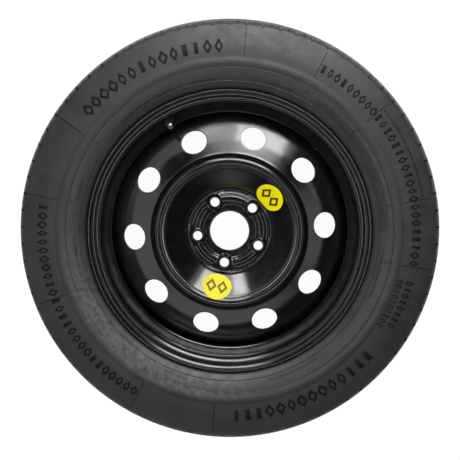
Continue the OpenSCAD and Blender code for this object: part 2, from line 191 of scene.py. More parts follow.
def patch(hole, rows, angles, points, faces, grid):
    """Fills the window around a hole with rings, and returns the window."""
    along = lengths(rows)
    middle = np.argmin(np.hypot(rows[:, 0] - hole.radius, rows[:, 1] - hole.height))
    i0 = int(np.searchsorted(along, along[middle] - hole.reach))
    i1 = int(np.searchsorted(along, along[middle] + hole.reach))
    j0 = int(np.searchsorted(angles, hole.angle - hole.spread))
    j1 = int(np.searchsorted(angles, hole.angle + hole.spread))
    near = rows[i0:i1 + 1]
    near = near[np.argsort(near[:, 0])]
    way = math.copysign(1, rows[i1, 0] - rows[i0, 0])
    border = [(i0, j) for j in range(j0, j1)] + [(i, j1) for i in range(i0, i1)]
    border += [(i1, j) for j in range(j1, j0, -1)] + [(i, j0) for i in range(i1, i0, -1)]
    flat = []
    for i, j in border:
        r, turn = rows[i, 0], angles[j] - hole.angle
        flat.append(((r * math.sin(turn)), way * (r * math.cos(turn) - hole.radius) / math.cos(hole.tilt)))
    flat = np.array(flat)
    bearing = np.arctan2(flat[:, 1], flat[:, 0])
    circle = np.stack([np.cos(bearing), np.sin(bearing)], axis=1)
    last = [grid[i][j] for i, j in border]
    outer = circle * hole.rings[0][0]
    loops = [(flat + (outer - flat) * k / FAN_STEPS, 0) for k in range(1, FAN_STEPS)]
    loops += [(circle * rho, drop) for rho, drop in hole.rings]
    for loop, drop in loops:
        now = []
        for u, v in loop:
            x = hole.radius + way * v * math.cos(hole.tilt)
            r = math.hypot(x, u)
            height = hole.shape(math.hypot(u, v), np.interp(r, near[:, 0], near[:, 1])) - drop
            now.append(len(points))
            points.append(clock(r, hole.angle + math.atan2(u, x), height))
        count = len(now)
        for n in range(count):
            m = (n + 1) % count
            faces.append((last[n], last[m], now[m], now[n]))
        last = now
    return i0, i1, j0, j1


def skin(name, rows, start, sweep, columns, holes=()):
    """A mesh of one skin, turned clockwise from start through sweep degrees."""
    closed = sweep >= 360
    angles = np.radians(start + sweep * np.arange(columns + 1) / columns)
    points, faces = [], []
    grid = [[0] * (columns + 1) for _ in rows]
    for i, (r, z) in enumerate(rows):
        for j in range(columns if closed else columns + 1):
            grid[i][j] = len(points)
            points.append(clock(r, angles[j], z))
        if closed:
            grid[i][columns] = grid[i][0]
    windows = [patch(hole, rows, angles, points, faces, grid) for hole in holes]
    for i in range(len(rows) - 1):
        for j in range(columns):
            if not any(i0 <= i < i1 and j0 <= j < j1 for i0, i1, j0, j1 in windows):
                faces.append((grid[i][j], grid[i][j + 1], grid[i + 1][j + 1], grid[i + 1][j]))
    mesh = bpy.data.meshes.new(name)
    mesh.from_pydata(points, [], faces)
    mesh.validate()
    return mesh


print("skin builder ready, with", FAN_STEPS, "steps from a window to its rings")

# %% [markdown]
# ## Copies turned about the axis
# The disc repeats every 72 degrees, the tread every 4.7 degrees and the weld runs every 45. One Geometry Nodes tree
# serves them all: it takes one sector, turns copies of it about Z, makes them real and joins their edges.

# %% Geometry Nodes: turned copies


def new_tree(name, inputs):
    """A geometry node tree with these named inputs, each a (name, socket type, default)."""
    tree = bpy.data.node_groups.new(name, "GeometryNodeTree")
    tree.interface.new_socket("Geometry", in_out="INPUT", socket_type="NodeSocketGeometry")
    for label, kind, default in inputs:
        socket = tree.interface.new_socket(label, in_out="INPUT", socket_type=kind)
        if default is not None:
            socket.default_value = default
    tree.interface.new_socket("Geometry", in_out="OUTPUT", socket_type="NodeSocketGeometry")
    return tree, tree.nodes.new("NodeGroupInput"), tree.nodes.new("NodeGroupOutput")


def math_node(tree, operation, a, b):
    """A Math node. An input may be a number or another node's output."""
    node = tree.nodes.new("ShaderNodeMath")
    node.operation = operation
    for socket, value in zip(node.inputs, (a, b)):
        if isinstance(value, (int, float)):
            socket.default_value = value
        else:
            tree.links.new(value, socket)
    return node.outputs[0]


def finish_tree(tree, geometry, source, out):
    """Ends a tree in Realize Instances, Merge by Distance and Set Material."""
    real = tree.nodes.new("GeometryNodeRealizeInstances")
    merge = tree.nodes.new("GeometryNodeMergeByDistance")
    paint = tree.nodes.new("GeometryNodeSetMaterial")
    tree.links.new(geometry, real.inputs["Geometry"])
    tree.links.new(real.outputs[0], merge.inputs["Geometry"])
    tree.links.new(source.outputs["Merge Distance"], merge.inputs["Distance"])
    tree.links.new(merge.outputs[0], paint.inputs["Geometry"])
    tree.links.new(source.outputs["Material"], paint.inputs["Material"])
    tree.links.new(paint.outputs[0], out.inputs["Geometry"])


def copies_tree():
    tree, source, out = new_tree("turned_copies", [
        ("Count", "NodeSocketInt", 5),
        ("Step", "NodeSocketFloat", 1.0),
        ("Merge Distance", "NodeSocketFloat", 0.00001),
        ("Material", "NodeSocketMaterial", None),
    ])
    line = tree.nodes.new("GeometryNodeMeshLine")
    line.inputs["Offset"].default_value = (0, 0, 0)
    index = tree.nodes.new("GeometryNodeInputIndex")
    turn = tree.nodes.new("ShaderNodeCombineXYZ")
    place = tree.nodes.new("GeometryNodeInstanceOnPoints")
    step = math_node(tree, "MULTIPLY", source.outputs["Step"], -1.0)
    tree.links.new(source.outputs["Count"], line.inputs["Count"])
    tree.links.new(math_node(tree, "MULTIPLY", index.outputs[0], step), turn.inputs["Z"])
    tree.links.new(line.outputs[0], place.inputs["Points"])
    tree.links.new(source.outputs["Geometry"], place.inputs["Instance"])
    tree.links.new(turn.outputs[0], place.inputs["Rotation"])
    finish_tree(tree, place.outputs[0], source, out)
    return tree


def add_tree(piece, tree, **values):
    """Puts a tree on a piece and sets its inputs by their identifiers. An underscore stands for a space."""
    modifier = piece.modifiers.new(tree.name, "NODES")
    modifier.node_group = tree
    found = {item.name: item.identifier for item in tree.interface.items_tree if item.in_out == "INPUT"}
    for label, value in values.items():
        modifier[found[label.replace("_", " ")]] = value
    return modifier


turned_copies = copies_tree()
print("tree", turned_copies.name, "has", len(turned_copies.nodes), "nodes")

# %% [markdown]
# A piece may carry modifiers while it is made. Before it joins the frame its evaluated mesh becomes its own mesh, it
# is shaded smooth with its true edges kept sharp, and it rides on its body.

# %% Finish a piece
SHARP = math.radians(38)


def piece_from(name, mesh):
    piece = bpy.data.objects.new(name, mesh)
    bpy.context.scene.collection.objects.link(piece)
    return piece


def baked(piece, sharp=SHARP):
    """Turns the piece's modifiers into plain mesh and shades it."""
    evaluated = piece.evaluated_get(bpy.context.evaluated_depsgraph_get())
    mesh = bpy.data.meshes.new_from_object(evaluated)
    piece.modifiers.clear()
    piece.data = mesh
    mesh.name = piece.name
    mesh.shade_smooth()
    mesh.set_sharp_from_angle(angle=sharp)
    return piece


def settle(piece, body, slot, *nodes):
    """Rides the piece on its body, in place of the CAD nodes that it stands for."""
    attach(piece, body)
    if nodes:
        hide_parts(*nodes)
    mesh = piece.data
    mesh.calc_loop_triangles()
    print(f"{piece.name}: {len(mesh.loop_triangles)} triangles, slot {slot}, stands for {list(nodes)}")
    return piece


print("pieces are shaded sharp past", round(math.degrees(SHARP)), "degrees")

# %% [markdown]
# ## Steel disc
# On a real wheel the disc is one sheet, drawn in a press, then pierced. Here the outboard face is the skin, and the
# sheet grows inwards from it. Only a fifth of it is modelled: one stud hole and two vent holes, then turned copies.

# %% Sizes of the disc
SHEET = 3.5
STUD_ANGLE = 45.2
STUD_CIRCLE = 54
STUD_HOLE = 7.4
VENT_ANGLE = 14.4
VENT_STEP = 36
VENT_CIRCLE = 160
VENT_HOLE = 21.5
SECTOR = 72

hub_path = [(32.55, 2.9, 0), (32.72, 3.3, 0), (33.1, 3.5, 0), (45.4, 3.5, 3), (49, 8, 5), (59, 8, 5), (61.16, 5.3, 1.2), (64.16, 5.3, 4.5),
            (65.96, 3.5, 1.2), (70.5, 3.5, 2.4)]
dish_path = [(73.5, 9.5, 5.5), (108.5, 38, 6), (111.9, 38.5, 1), (113.7, 40.3, 4.5), (122.7, 40.3, 6)]
band_path = [(131.2, 27.3, 4), (158.7, 13.15, 150), (186.25, -5, 9), (198.25, -29, 12), (198.25, -56, 0)]
disc_outline = rounded(hub_path + dish_path + band_path)
hub_rows = spaced(disc_outline[disc_outline[:, 0] < 71], 1.7)
outer_rows = spaced(disc_outline[disc_outline[:, 0] >= 71], 3.6)
disc_rows = np.vstack([hub_rows, outer_rows])
print("disc section:", len(disc_rows), "rows, highest at", round(disc_rows[:, 1].max(), 2), "mm")

# %% [markdown]
# Around each stud hole the sheet is pushed up into a boss with a conical seat for the wheel bolt. The boss grows out
# of the ridge with a soft foot. A smooth maximum of the two heights gives that foot without any modelling.

# %% Height of a stud boss
BOSS_TOP = 10.5
BOSS_RADIUS = 10.4
BOSS_FLARE = 3.6
SEAT_OUTER = 9.0
FOOT_BLEND = 2.4


def smooth_max(a, b, width):
    h = max(width - abs(a - b), 0) / width
    return max(a, b) + h * h * width / 4


def boss_height(rho, base):
    flank = BOSS_TOP - max(rho - BOSS_RADIUS, 0) * (BOSS_TOP - 3.5) / BOSS_FLARE
    return smooth_max(flank, base, FOOT_BLEND)


print("boss stands", BOSS_TOP - 8, "mm above its ridge")

# %% [markdown]
# The five-fold sector is skinned, copied round and thickened. The rings at the holes drop a little at the edge, which
# rounds it so that it catches the light as a painted edge does. A Bevel modifier would round it too, but at four
# times the faces.

# %% Make the disc


def ring_radii(outer, inner, steps):
    return [outer + (inner - outer) * k / steps for k in range(steps + 1)]


def disc_holes():
    studs = [(rho, 0) for rho in (15.6, 14.4, 13.2, 12.2, 11.4, 10.8, 10.3, 9.6, SEAT_OUTER)]
    studs += [(STUD_HOLE + (SEAT_OUTER - STUD_HOLE) * t, (1 - t) * (SEAT_OUTER - STUD_HOLE) * SEAT_DROP)
              for t in (0.66, 0.33, 0)]
    vents = [(VENT_HOLE + out, drop) for out, drop in ((3.5, 0), (2.2, 0), (1.2, 0), (0.7, 0.05), (0.3, 0.2), (0, 0.6))]
    slope = math.degrees(math.atan2(27.3 + 5, 186.25 - 131.2))
    holes = [Hole(STUD_ANGLE, STUD_CIRCLE, 8, 0, 16.4, 17.6, studs, boss_height)]
    for k in range(2):
        holes.append(Hole(VENT_ANGLE + k * VENT_STEP, VENT_CIRCLE, VENT_HEIGHT, slope, 28, 10.4, vents))
    return holes


SEAT_DROP = 1 / math.tan(math.radians(30))
VENT_HEIGHT = float(np.interp(VENT_CIRCLE, disc_rows[:-30, 0], disc_rows[:-30, 1]))
sector = skin("disc_sector", disc_rows, VENT_ANGLE - VENT_STEP / 2, SECTOR, 60, disc_holes())
disc = piece_from("painted_disc", sector)
add_tree(disc, turned_copies, Count=5, Step=math.radians(SECTOR), Merge_Distance=0.02 * MM)
thicken = disc.modifiers.new("thickness", "SOLIDIFY")
thicken.thickness = SHEET * MM
thicken.offset = -1
baked(disc)
settle(disc, "wheel", "black_paint", "disc")

# %% [markdown]
# ## Rim
# The rim is one band rolled to shape, so its skin is a full turn of the section. The skin is the side that the tyre
# sits on, and Solidify adds the steel towards the air. The valve hole is the only hole, on the slope of the well.

# %% Section of the rim
MID_HEIGHT = -40
RIM_SHEET = 2.6
VALVE_ANGLE = 330.6
VALVE_RADIUS = 207.6
VALVE_HOLE = 5.65
OUTER_RAMP = math.radians(16)
INNER_RAMP = math.radians(27)


def ramp_end(slope):
    """Height over the rim's middle at which the well's slope meets the well, 17.3 mm deeper."""
    return 29.2 - (218.213 - 200.9) * math.tan(slope)


def rim_half(slope):
    return [(237, 63.8, 0), (237, 50.8, 9.5), (218.3, 50.8, 6.5), (216.81, 33.8, 3.5), (218.213, 29.2, 3.1),
            (200.9, ramp_end(slope), 3)]


def above_middle(path):
    return [(r, MID_HEIGHT + h, f) for r, h, f in path]


rim_path = above_middle(rim_half(OUTER_RAMP)) + [(r, MID_HEIGHT - h, f) for r, h, f in reversed(rim_half(INNER_RAMP))]
rim_rows = spaced(rounded(rim_path, 12), 6)
print("rim section:", len(rim_rows), "rows,", round(lengths(rim_rows)[-1]), "mm along the steel")

# %% Make the rim
valve_height = MID_HEIGHT + ramp_end(OUTER_RAMP) + (VALVE_RADIUS - 200.9) * math.tan(OUTER_RAMP)
valve_hole = Hole(VALVE_ANGLE - 360, VALVE_RADIUS, valve_height, -math.degrees(OUTER_RAMP), 7, 2.1,
                  [(rho, 0) for rho in (6.3, 5.9, VALVE_HOLE)])
RIM_COLUMNS = 288
rim = piece_from("painted_rim", skin("painted_rim", rim_rows, VALVE_ANGLE - 360 - 180.6, 360, RIM_COLUMNS, [valve_hole]))
steel = rim.modifiers.new("thickness", "SOLIDIFY")
steel.thickness = RIM_SHEET * MM
steel.offset = -1
edge = rim.modifiers.new("rounding", "BEVEL")
edge.width = 0.6 * MM
edge.segments = 2
edge.limit_method = "ANGLE"
edge.angle_limit = math.radians(55)
baked(rim)
settle(rim, "wheel", "black_paint", "rim")

# %% [markdown]
# ## Tyre
# A tyre is moulded in one piece, and its tread and shoulder notches repeat 77 times. So one pitch is modelled with
# all its depth, and the copies tree turns it round. Each shoulder has a row of notches, half a pitch apart, and
# halfway between them runs a shallow sipe. The skin starts at the outboard toe and goes over the crown.

# %% Section of the tyre
CROWN = 355.5
CROWN_DROP = 6
CROWN_HALF = 59
CROWN_EDGE = 7
SIDE = 77.5
SIDEWALL = 7
FLANGE = 237
HUG_CENTRE = (227.5, 60.3)
HUG_RADIUS = 9.65


def crown_at(s):
    return CROWN - CROWN_DROP * (s / CROWN_HALF) ** 2


def flange_hug():
    """The arc in which the bead lies on the rim's flange."""
    turns = np.radians(np.linspace(50, 0, 6))
    return [(HUG_CENTRE[0] + HUG_RADIUS * math.sin(a), HUG_CENTRE[1] - HUG_RADIUS * math.cos(a), 0) for a in turns]


wall_path = [(342, 64.5, 24), (305.5, SIDE, 145), (264, SIDE, 62), (FLANGE + 3.2, 66.5, 9), (FLANGE + 1.4, 57.3, 3)]
bead_path = [(218.45, 50.65, 7), (217.0, 34.3, 1.5)]
inner_path = [(229.3, 37.8, 9), (242, 51.5, 0), (264, SIDE - SIDEWALL, 40), (305.5, SIDE - SIDEWALL, 110),
              (335.5, 55, 16), (342.5, 14, 0), (342.5, 0, 0)]
print("the sidewall stands", SIDE, "mm from the tyre's middle")

# %% [markdown]
# A sipe, a notch and the grooves are all cuts towards the axis, so each can be a limit on the radius. A cut has a
# floor, and the outline is pressed down onto it: closely spaced columns of points make its walls. Fine raised lines
# on the sidewall are small moves along the section's normal.

# %% Cuts in the tread and lines on the sidewall
GROOVE_PLACES = (-27, 0, 27)
GROOVE_WIDTH = 7
GROOVE_DEPTH = 6
NOTCH_INNER = 46
NOTCH_DEPTH = 4.5
NOTCH_LOW = 344
SIPE_DEPTH = 3.0
SIPE_INNER = 52
SIPE_LOW = 346
# Radius, height and width of each raised line
WALL_LINES = ((346.4, 0.8, 1.8), (273, 0.8, 1.6), (250.5, 0.9, 2.0))
VALLEY = 283
VALLEY_HALF = 10
VALLEY_DEPTH = 1.4


def grooved(r, s):
    """The radius after the tread grooves."""
    for place in GROOVE_PLACES:
        wall = np.clip((GROOVE_WIDTH / 2 - abs(s - place)) / 0.6, 0, 1)
        r = min(r, crown_at(s) - GROOVE_DEPTH * wall) if wall > 0 else r
    return r


def cut_floor(s, inner, depth, low):
    """Radius of a shoulder cut's floor at a height s, from its inner end down to its low end on the wall."""
    start = crown_at(inner) - depth
    return float(np.interp(s, (inner, 57), (start, low)))


def valley(r):
    """Depth of the shallow valley that runs round the outboard sidewall."""
    return VALLEY_DEPTH * max(1 - ((r - VALLEY) / VALLEY_HALF) ** 2, 0) ** 2


def raised(r, s):
    """How far the outboard sidewall stands out at a radius, with its fine lines and its valley."""
    if s < 55 or r > 349:
        return 0
    return max(high * max(1 - abs(r - at) / wide * 2, 0) ** 0.5 for at, high, wide in WALL_LINES) - valley(r)


print("notch floor at the shoulder edge:", round(cut_floor(55, NOTCH_INNER, NOTCH_DEPTH, NOTCH_LOW), 1), "mm")

# %% Outline of one half, resampled
SHOULDER_FOOT = 328


def crown_stations():
    """Heights of the rows across half the tread, set at both edges of each groove wall."""
    walls = [abs(place) + side * (GROOVE_WIDTH / 2 + run) for place in GROOVE_PLACES[1:] for side in (-1, 1)
             for run in (-0.6, 0)]
    return sorted({s for s in walls if s > 0} | {0, 13.5, 38, NOTCH_INNER - 0.3, NOTCH_INNER, 49, SIPE_INNER})


def fine_radii():
    """Radii that need a row of their own: five at each raised line, and steps across the valley."""
    lines = [at + wide * k / 4 for at, _, wide in WALL_LINES for k in (-2, -1, 0, 1, 2)]
    return lines + list(np.linspace(VALLEY - VALLEY_HALF, VALLEY + VALLEY_HALF, 8))


def sampled(points, radii=()):
    """The rest of the outline, closer at the shoulder, with extra rows on the wall at the given radii."""
    out = [points[0]]
    for a, b in zip(points, points[1:]):
        gap = 5 if (a[0] + b[0]) / 2 > SHOULDER_FOOT else 14
        count = max(1, math.ceil(np.linalg.norm(b - a) / gap))
        steps = {k / count for k in range(1, count + 1)}
        if min(a[1], b[1]) > 55 and abs(b[0] - a[0]) > 0.5:
            steps |= {(r - a[0]) / (b[0] - a[0]) for r in radii if min(a[0], b[0]) < r < max(a[0], b[0])}
        out += [a + (b - a) * t for t in sorted(steps)]
    return np.array(out)


edge_outline = rounded([(crown_at(SIPE_INNER), SIPE_INNER, 0), (crown_at(CROWN_HALF), CROWN_HALF, CROWN_EDGE)]
                       + wall_path + flange_hug() + bead_path + inner_path, 14)
toe = int(np.argmax(edge_outline[:, 0] < 217.3))
crown_rows = np.array([(crown_at(s), s) for s in crown_stations()])
outer_half = np.vstack([crown_rows, sampled(edge_outline[:toe + 2], fine_radii())[1:]])
back_half = np.vstack([crown_rows, sampled(edge_outline[:toe + 2])[1:]])
inner_half = rounded([(*outer_half[-1], 0)] + inner_path, 60, 1)[1:-1]
print("rows outboard:", len(outer_half), "inboard:", len(back_half), "inside each:", len(inner_half))

# %% [markdown]
# One pitch has eight columns. Two close together stand at each edge of a cut, one at its lip and one just inside it,
# so that the walls of notch and sipe are steep. The mesh closes on itself through the bead toes and the inner wall.

# %% Mesh of one pitch of the tyre
PITCHES = 77
PITCH = 2 * math.pi / PITCHES
NOTCH_WIDTH = 3.5
WALL_RUN = 0.35


def column_angles():
    """Angles within a pitch, with the notch at 0 and the sipe at half a pitch on the outboard side."""
    def around(centre, width):
        inside = (width / 2 - WALL_RUN / 2) / CROWN
        outside = (width / 2 + WALL_RUN / 2) / CROWN
        return [centre - outside, centre - inside, centre + inside, centre + outside]
    return np.array(around(0, NOTCH_WIDTH) + around(PITCH / 2, NOTCH_WIDTH) + [PITCH - (NOTCH_WIDTH + WALL_RUN) / 2 / CROWN])


def tyre_point(r, s, column, outer):
    """Radius and height of a point, after the cuts. Columns 1 and 2 lie in the outboard notch, 5 and 6 across."""
    if not outer:
        return r, s
    in_first, in_second = column % 8 in (1, 2), column % 8 in (5, 6)
    lift = raised(r, s)
    if abs(s) < CROWN_HALF and r > 345:
        r = grooved(r, s)
    for side, notched in ((1, in_first), (-1, in_second)):
        sipe = in_second if side == 1 else in_first
        h = s * side
        if notched and h > NOTCH_INNER and r > NOTCH_LOW:
            r = min(r, cut_floor(h, NOTCH_INNER, NOTCH_DEPTH, NOTCH_LOW))
        if sipe and h > SIPE_INNER and r > SIPE_LOW:
            r = min(r, max(r - SIPE_DEPTH, cut_floor(h, SIPE_INNER, SIPE_DEPTH, SIPE_LOW)))
    return r, s + math.copysign(lift, s)


def tyre_pitch():
    loop = [(r, s, True) for r, s in outer_half[::-1]] + [(r, -s, True) for r, s in back_half[1:]]
    loop += [(r, -s, False) for r, s in inner_half] + [(r, s, False) for r, s in inner_half[::-1]]
    angles = column_angles()
    points, faces = [], []
    for r, s, outer in loop:
        for column, angle in enumerate(angles):
            radius, height = tyre_point(r, s, column, outer)
            points.append(clock(radius, angle, MID_HEIGHT + height))
    wide, tall = len(angles), len(loop)
    for i in range(tall):
        for j in range(wide - 1):
            a, b = i * wide + j, (i + 1) % tall * wide + j
            faces.append((a, a + 1, b + 1, b))
    mesh = bpy.data.meshes.new("tyre_pitch")
    mesh.from_pydata(points, [], faces)
    return mesh


tyre = piece_from("moulded_tyre", tyre_pitch())
add_tree(tyre, turned_copies, Count=PITCHES, Step=PITCH, Merge_Distance=0.02 * MM)
baked(tyre, math.radians(32))
settle(tyre, "wheel", "tyre_rubber", "tyre")

# %% [markdown]
# ## Raised marks on the sidewall
# A real sidewall carries moulded words. They stay off this part, and plain raised blocks with drafted sides stand in
# their places, as on a blank mould. A Geometry Nodes tree sets blocks of seeded widths along an arc. Modelling each
# block by hand would look the same and take hours.

# %% Geometry Nodes: blocks along an arc


def random_node(tree, low, high, seed):
    node = tree.nodes.new("FunctionNodeRandomValue")
    node.data_type = "FLOAT"
    node.inputs[2].default_value = low
    node.inputs[3].default_value = high
    tree.links.new(seed, node.inputs["Seed"])
    return node.outputs[1]


def vector_node(tree, x, y, z):
    node = tree.nodes.new("ShaderNodeCombineXYZ")
    for socket, value in zip(node.inputs, (x, y, z)):
        if isinstance(value, (int, float)):
            socket.default_value = value
        else:
            tree.links.new(value, socket)
    return node.outputs[0]


def bar_and_diamond(tree, bar):
    """Two instances to pick from: the plain bar, and a diamond of four thinner bars."""
    both = tree.nodes.new("GeometryNodeJoinGeometry")
    diamond = tree.nodes.new("GeometryNodeJoinGeometry")
    for x, y in ((1, 1), (-1, 1), (-1, -1), (1, -1)):
        side = tree.nodes.new("GeometryNodeTransform")
        side.inputs["Translation"].default_value = (0.22 * x, 0.22 * y, 0)
        side.inputs["Rotation"].default_value = (0, 0, math.radians(45 * x * y))
        side.inputs["Scale"].default_value = (0.26, 0.78, 1)
        tree.links.new(bar, side.inputs["Geometry"])
        tree.links.new(side.outputs[0], diamond.inputs[0])
    for shape in (diamond.outputs[0], bar):
        instance = tree.nodes.new("GeometryNodeGeometryToInstance")
        tree.links.new(shape, instance.inputs[0])
        tree.links.new(instance.outputs[0], both.inputs[0])
    return both.outputs[0]


def blocks_tree():
    tree, source, out = new_tree("blocks_along_an_arc", [
        ("Count", "NodeSocketInt", 8),
        ("Radius", "NodeSocketFloat", 0.3),
        ("Height", "NodeSocketFloat", 0.0),
        ("Tilt", "NodeSocketFloat", 0.0),
        ("Start", "NodeSocketFloat", 0.0),
        ("Step", "NodeSocketFloat", 0.02),
        ("Width", "NodeSocketFloat", 0.004),
        ("Length", "NodeSocketFloat", 0.01),
        ("Relief", "NodeSocketFloat", 0.0006),
        ("Draft", "NodeSocketFloat", 0.75),
        ("Seed", "NodeSocketInt", 1),
        ("Merge Distance", "NodeSocketFloat", 0.0),
        ("Material", "NodeSocketMaterial", None),
    ])
    get = source.outputs
    line = tree.nodes.new("GeometryNodeMeshLine")
    line.inputs["Offset"].default_value = (0, 0, 0)
    tree.links.new(get["Count"], line.inputs["Count"])
    index = tree.nodes.new("GeometryNodeInputIndex").outputs[0]
    angle = math_node(tree, "ADD", get["Start"], math_node(tree, "MULTIPLY", index, get["Step"]))
    east = math_node(tree, "MULTIPLY", get["Radius"], math_node(tree, "SINE", angle, 0))
    north = math_node(tree, "MULTIPLY", get["Radius"], math_node(tree, "COSINE", angle, 0))
    move = tree.nodes.new("GeometryNodeSetPosition")
    tree.links.new(line.outputs[0], move.inputs["Geometry"])
    tree.links.new(vector_node(tree, east, north, get["Height"]), move.inputs["Position"])
    block = tree.nodes.new("GeometryNodeMeshCube")
    block.inputs["Size"].default_value = (1, 1, 1)
    place = tree.nodes.new("ShaderNodeSeparateXYZ")
    tree.links.new(tree.nodes.new("GeometryNodeInputPosition").outputs[0], place.inputs[0])
    top = math_node(tree, "GREATER_THAN", place.outputs[2], 0.0)
    drafted = tree.nodes.new("GeometryNodeSetPosition")
    across = math_node(tree, "MULTIPLY", place.outputs[0], get["Draft"])
    along = math_node(tree, "MULTIPLY", place.outputs[1], get["Draft"])
    tree.links.new(block.outputs[0], drafted.inputs["Geometry"])
    tree.links.new(top, drafted.inputs["Selection"])
    tree.links.new(vector_node(tree, across, along, place.outputs[2]), drafted.inputs["Position"])
    share = random_node(tree, 0.4, 1.0, get["Seed"])
    width = math_node(tree, "MULTIPLY", get["Width"], share)
    put = tree.nodes.new("GeometryNodeInstanceOnPoints")
    tree.links.new(move.outputs[0], put.inputs["Points"])
    tree.links.new(bar_and_diamond(tree, drafted.outputs[0]), put.inputs["Instance"])
    put.inputs["Pick Instance"].default_value = True
    tree.links.new(math_node(tree, "GREATER_THAN", share, 0.62), put.inputs["Instance Index"])
    tree.links.new(vector_node(tree, get["Tilt"], 0, math_node(tree, "MULTIPLY", angle, -1.0)), put.inputs["Rotation"])
    tree.links.new(vector_node(tree, width, get["Length"], math_node(tree, "MULTIPLY", get["Relief"], 2.0)),
                   put.inputs["Scale"])
    finish_tree(tree, put.outputs[0], source, out)
    return tree


blocks_along_an_arc = blocks_tree()
print("tree", blocks_along_an_arc.name, "has", len(blocks_along_an_arc.nodes), "nodes")

# %% Places of the marks
# Each row: start and end angle in degrees clockwise, middle radius, length along the radius, pitch, relief, all in mm
MARK_ROWS = (
    (311, 358, 309, 21, 19, 0.7), (132, 178, 309, 21, 19, 0.7),
    (30, 100, 311, 16, 13.5, 0.7), (211, 278, 312, 17, 14.5, 0.7),
    (106, 122, 312, 13, 11, 0.6), (106, 122, 296, 11, 9, 0.6),
    (313, 339, 254.5, 4.5, 3.6, 0.3), (345, 357, 254.5, 4.5, 3.6, 0.3), (14, 24, 256, 5, 3.6, 0.3),
    (34, 90, 253.5, 3.6, 3.2, 0.3), (34, 90, 258.5, 3.6, 3.2, 0.3), (34, 90, 263.5, 3.6, 3.2, 0.3),
    (97, 115, 257, 6, 4, 0.3), (146, 165, 257, 6, 4, 0.3), (196, 210, 257, 6, 4, 0.3),
    (253, 268, 258, 5, 3.8, 0.3), (282, 290, 258, 5, 3.8, 0.3), (52, 80, 327, 5, 4.6, 0.4),
)
MOULD_LINES = (4.8, 28.6, 51, 80.4, 100.8, 184.8, 209.4, 249, 280.7, 304)


def wall_at(radius):
    """Height over the tyre's middle and slope of the sidewall at a radius."""
    wall = outer_half[(outer_half[:, 1] > 56) & (outer_half[:, 0] > 239)]
    wall = wall[np.argsort(wall[:, 0])]
    z = [np.interp(r, wall[:, 0], wall[:, 1]) - valley(r) for r in (radius - 1, radius, radius + 1)]
    return float(z[1]), math.atan2(z[2] - z[0], 2)


def marks(name, rows, side):
    """All rows of blocks on one side of the tyre, as one mesh."""
    meshes = []
    for number, (start, end, radius, length, pitch, relief) in enumerate(rows):
        height, slope = wall_at(radius)
        row = piece_from("row", bpy.data.meshes.new("row"))
        add_tree(row, blocks_along_an_arc,
                 Count=int(math.radians(end - start) * radius / pitch) + 1, Radius=radius * MM,
                 Height=(MID_HEIGHT + side * height) * MM, Tilt=side * slope, Start=math.radians(start),
                 Step=pitch / radius, Width=0.9 * pitch * MM, Length=length * MM, Relief=relief * MM, Seed=number)
        evaluated = row.evaluated_get(bpy.context.evaluated_depsgraph_get())
        meshes.append(bpy.data.meshes.new_from_object(evaluated))
        bpy.data.objects.remove(row)
    joined = joined_mesh(name, meshes)
    return piece_from(name, joined)


def joined_mesh(name, meshes):
    """One mesh out of several, in their shared frame."""
    points, faces = [], []
    for mesh in meshes:
        base = len(points)
        points += [v.co[:] for v in mesh.vertices]
        faces += [[base + n for n in face.vertices] for face in mesh.polygons]
    joined = bpy.data.meshes.new(name)
    joined.from_pydata(points, [], faces)
    return joined


outboard_marks = marks("sidewall_marks", MARK_ROWS, 1)
baked(outboard_marks)
settle(outboard_marks, "wheel", "tyre_rubber")

# %% [markdown]
# The mould of a tyre is in sectors, and rubber creeps into their joints. That leaves thin radial lines across the
# sidewall. Each line follows the wall's curve, so it is a strip lofted along the section and not a straight block.

# %% Mould lines across the sidewall
SEAM_WIDTH = 1.5
SEAM_HEIGHT = 0.45
SEAM_INNER = 262
SEAM_OUTER = 340
SEAM_ROWS = 24


def seam_lines(name, angles, side):
    points, faces = [], []
    for degrees in angles:
        for radius in np.linspace(SEAM_INNER, SEAM_OUTER, SEAM_ROWS + 1):
            half = SEAM_WIDTH / 2 / radius
            height = wall_at(radius)[0]
            for turn, lift in ((-half, -0.5), (-half * 0.6, SEAM_HEIGHT), (half * 0.6, SEAM_HEIGHT), (half, -0.5)):
                points.append(clock(radius, math.radians(degrees) + turn * side, MID_HEIGHT + side * (height + lift)))
        base = len(points) - 4 * (SEAM_ROWS + 1)
        for i in range(SEAM_ROWS):
            for k in range(4):
                a, b = base + 4 * i + k, base + 4 * i + (k + 1) % 4
                faces.append((a, b, b + 4, a + 4))
        faces.append((base + 3, base + 2, base + 1, base))
        faces.append(tuple(base + 4 * SEAM_ROWS + k for k in range(4)))
    mesh = bpy.data.meshes.new(name)
    mesh.from_pydata(points, [], faces)
    return piece_from(name, mesh)


outboard_seams = seam_lines("mould_lines", MOULD_LINES, 1)
baked(outboard_seams)
settle(outboard_seams, "wheel", "tyre_rubber")

# %% [markdown]
# ## Welds
# Eight runs of weld hold the disc's flange to the rim. A run is a fillet whose section is swept along 22 degrees, and
# the ripples that the torch leaves are a small wave in its size. One run is modelled and the copies tree sets all.

# %% Make the weld runs
WELD_START = -22
WELD_ARC = 22
WELD_LEG = 3.3
WELD_COLUMNS = 90
WELD_CORNER = (198.2, -56.1)
RIPPLES = 30


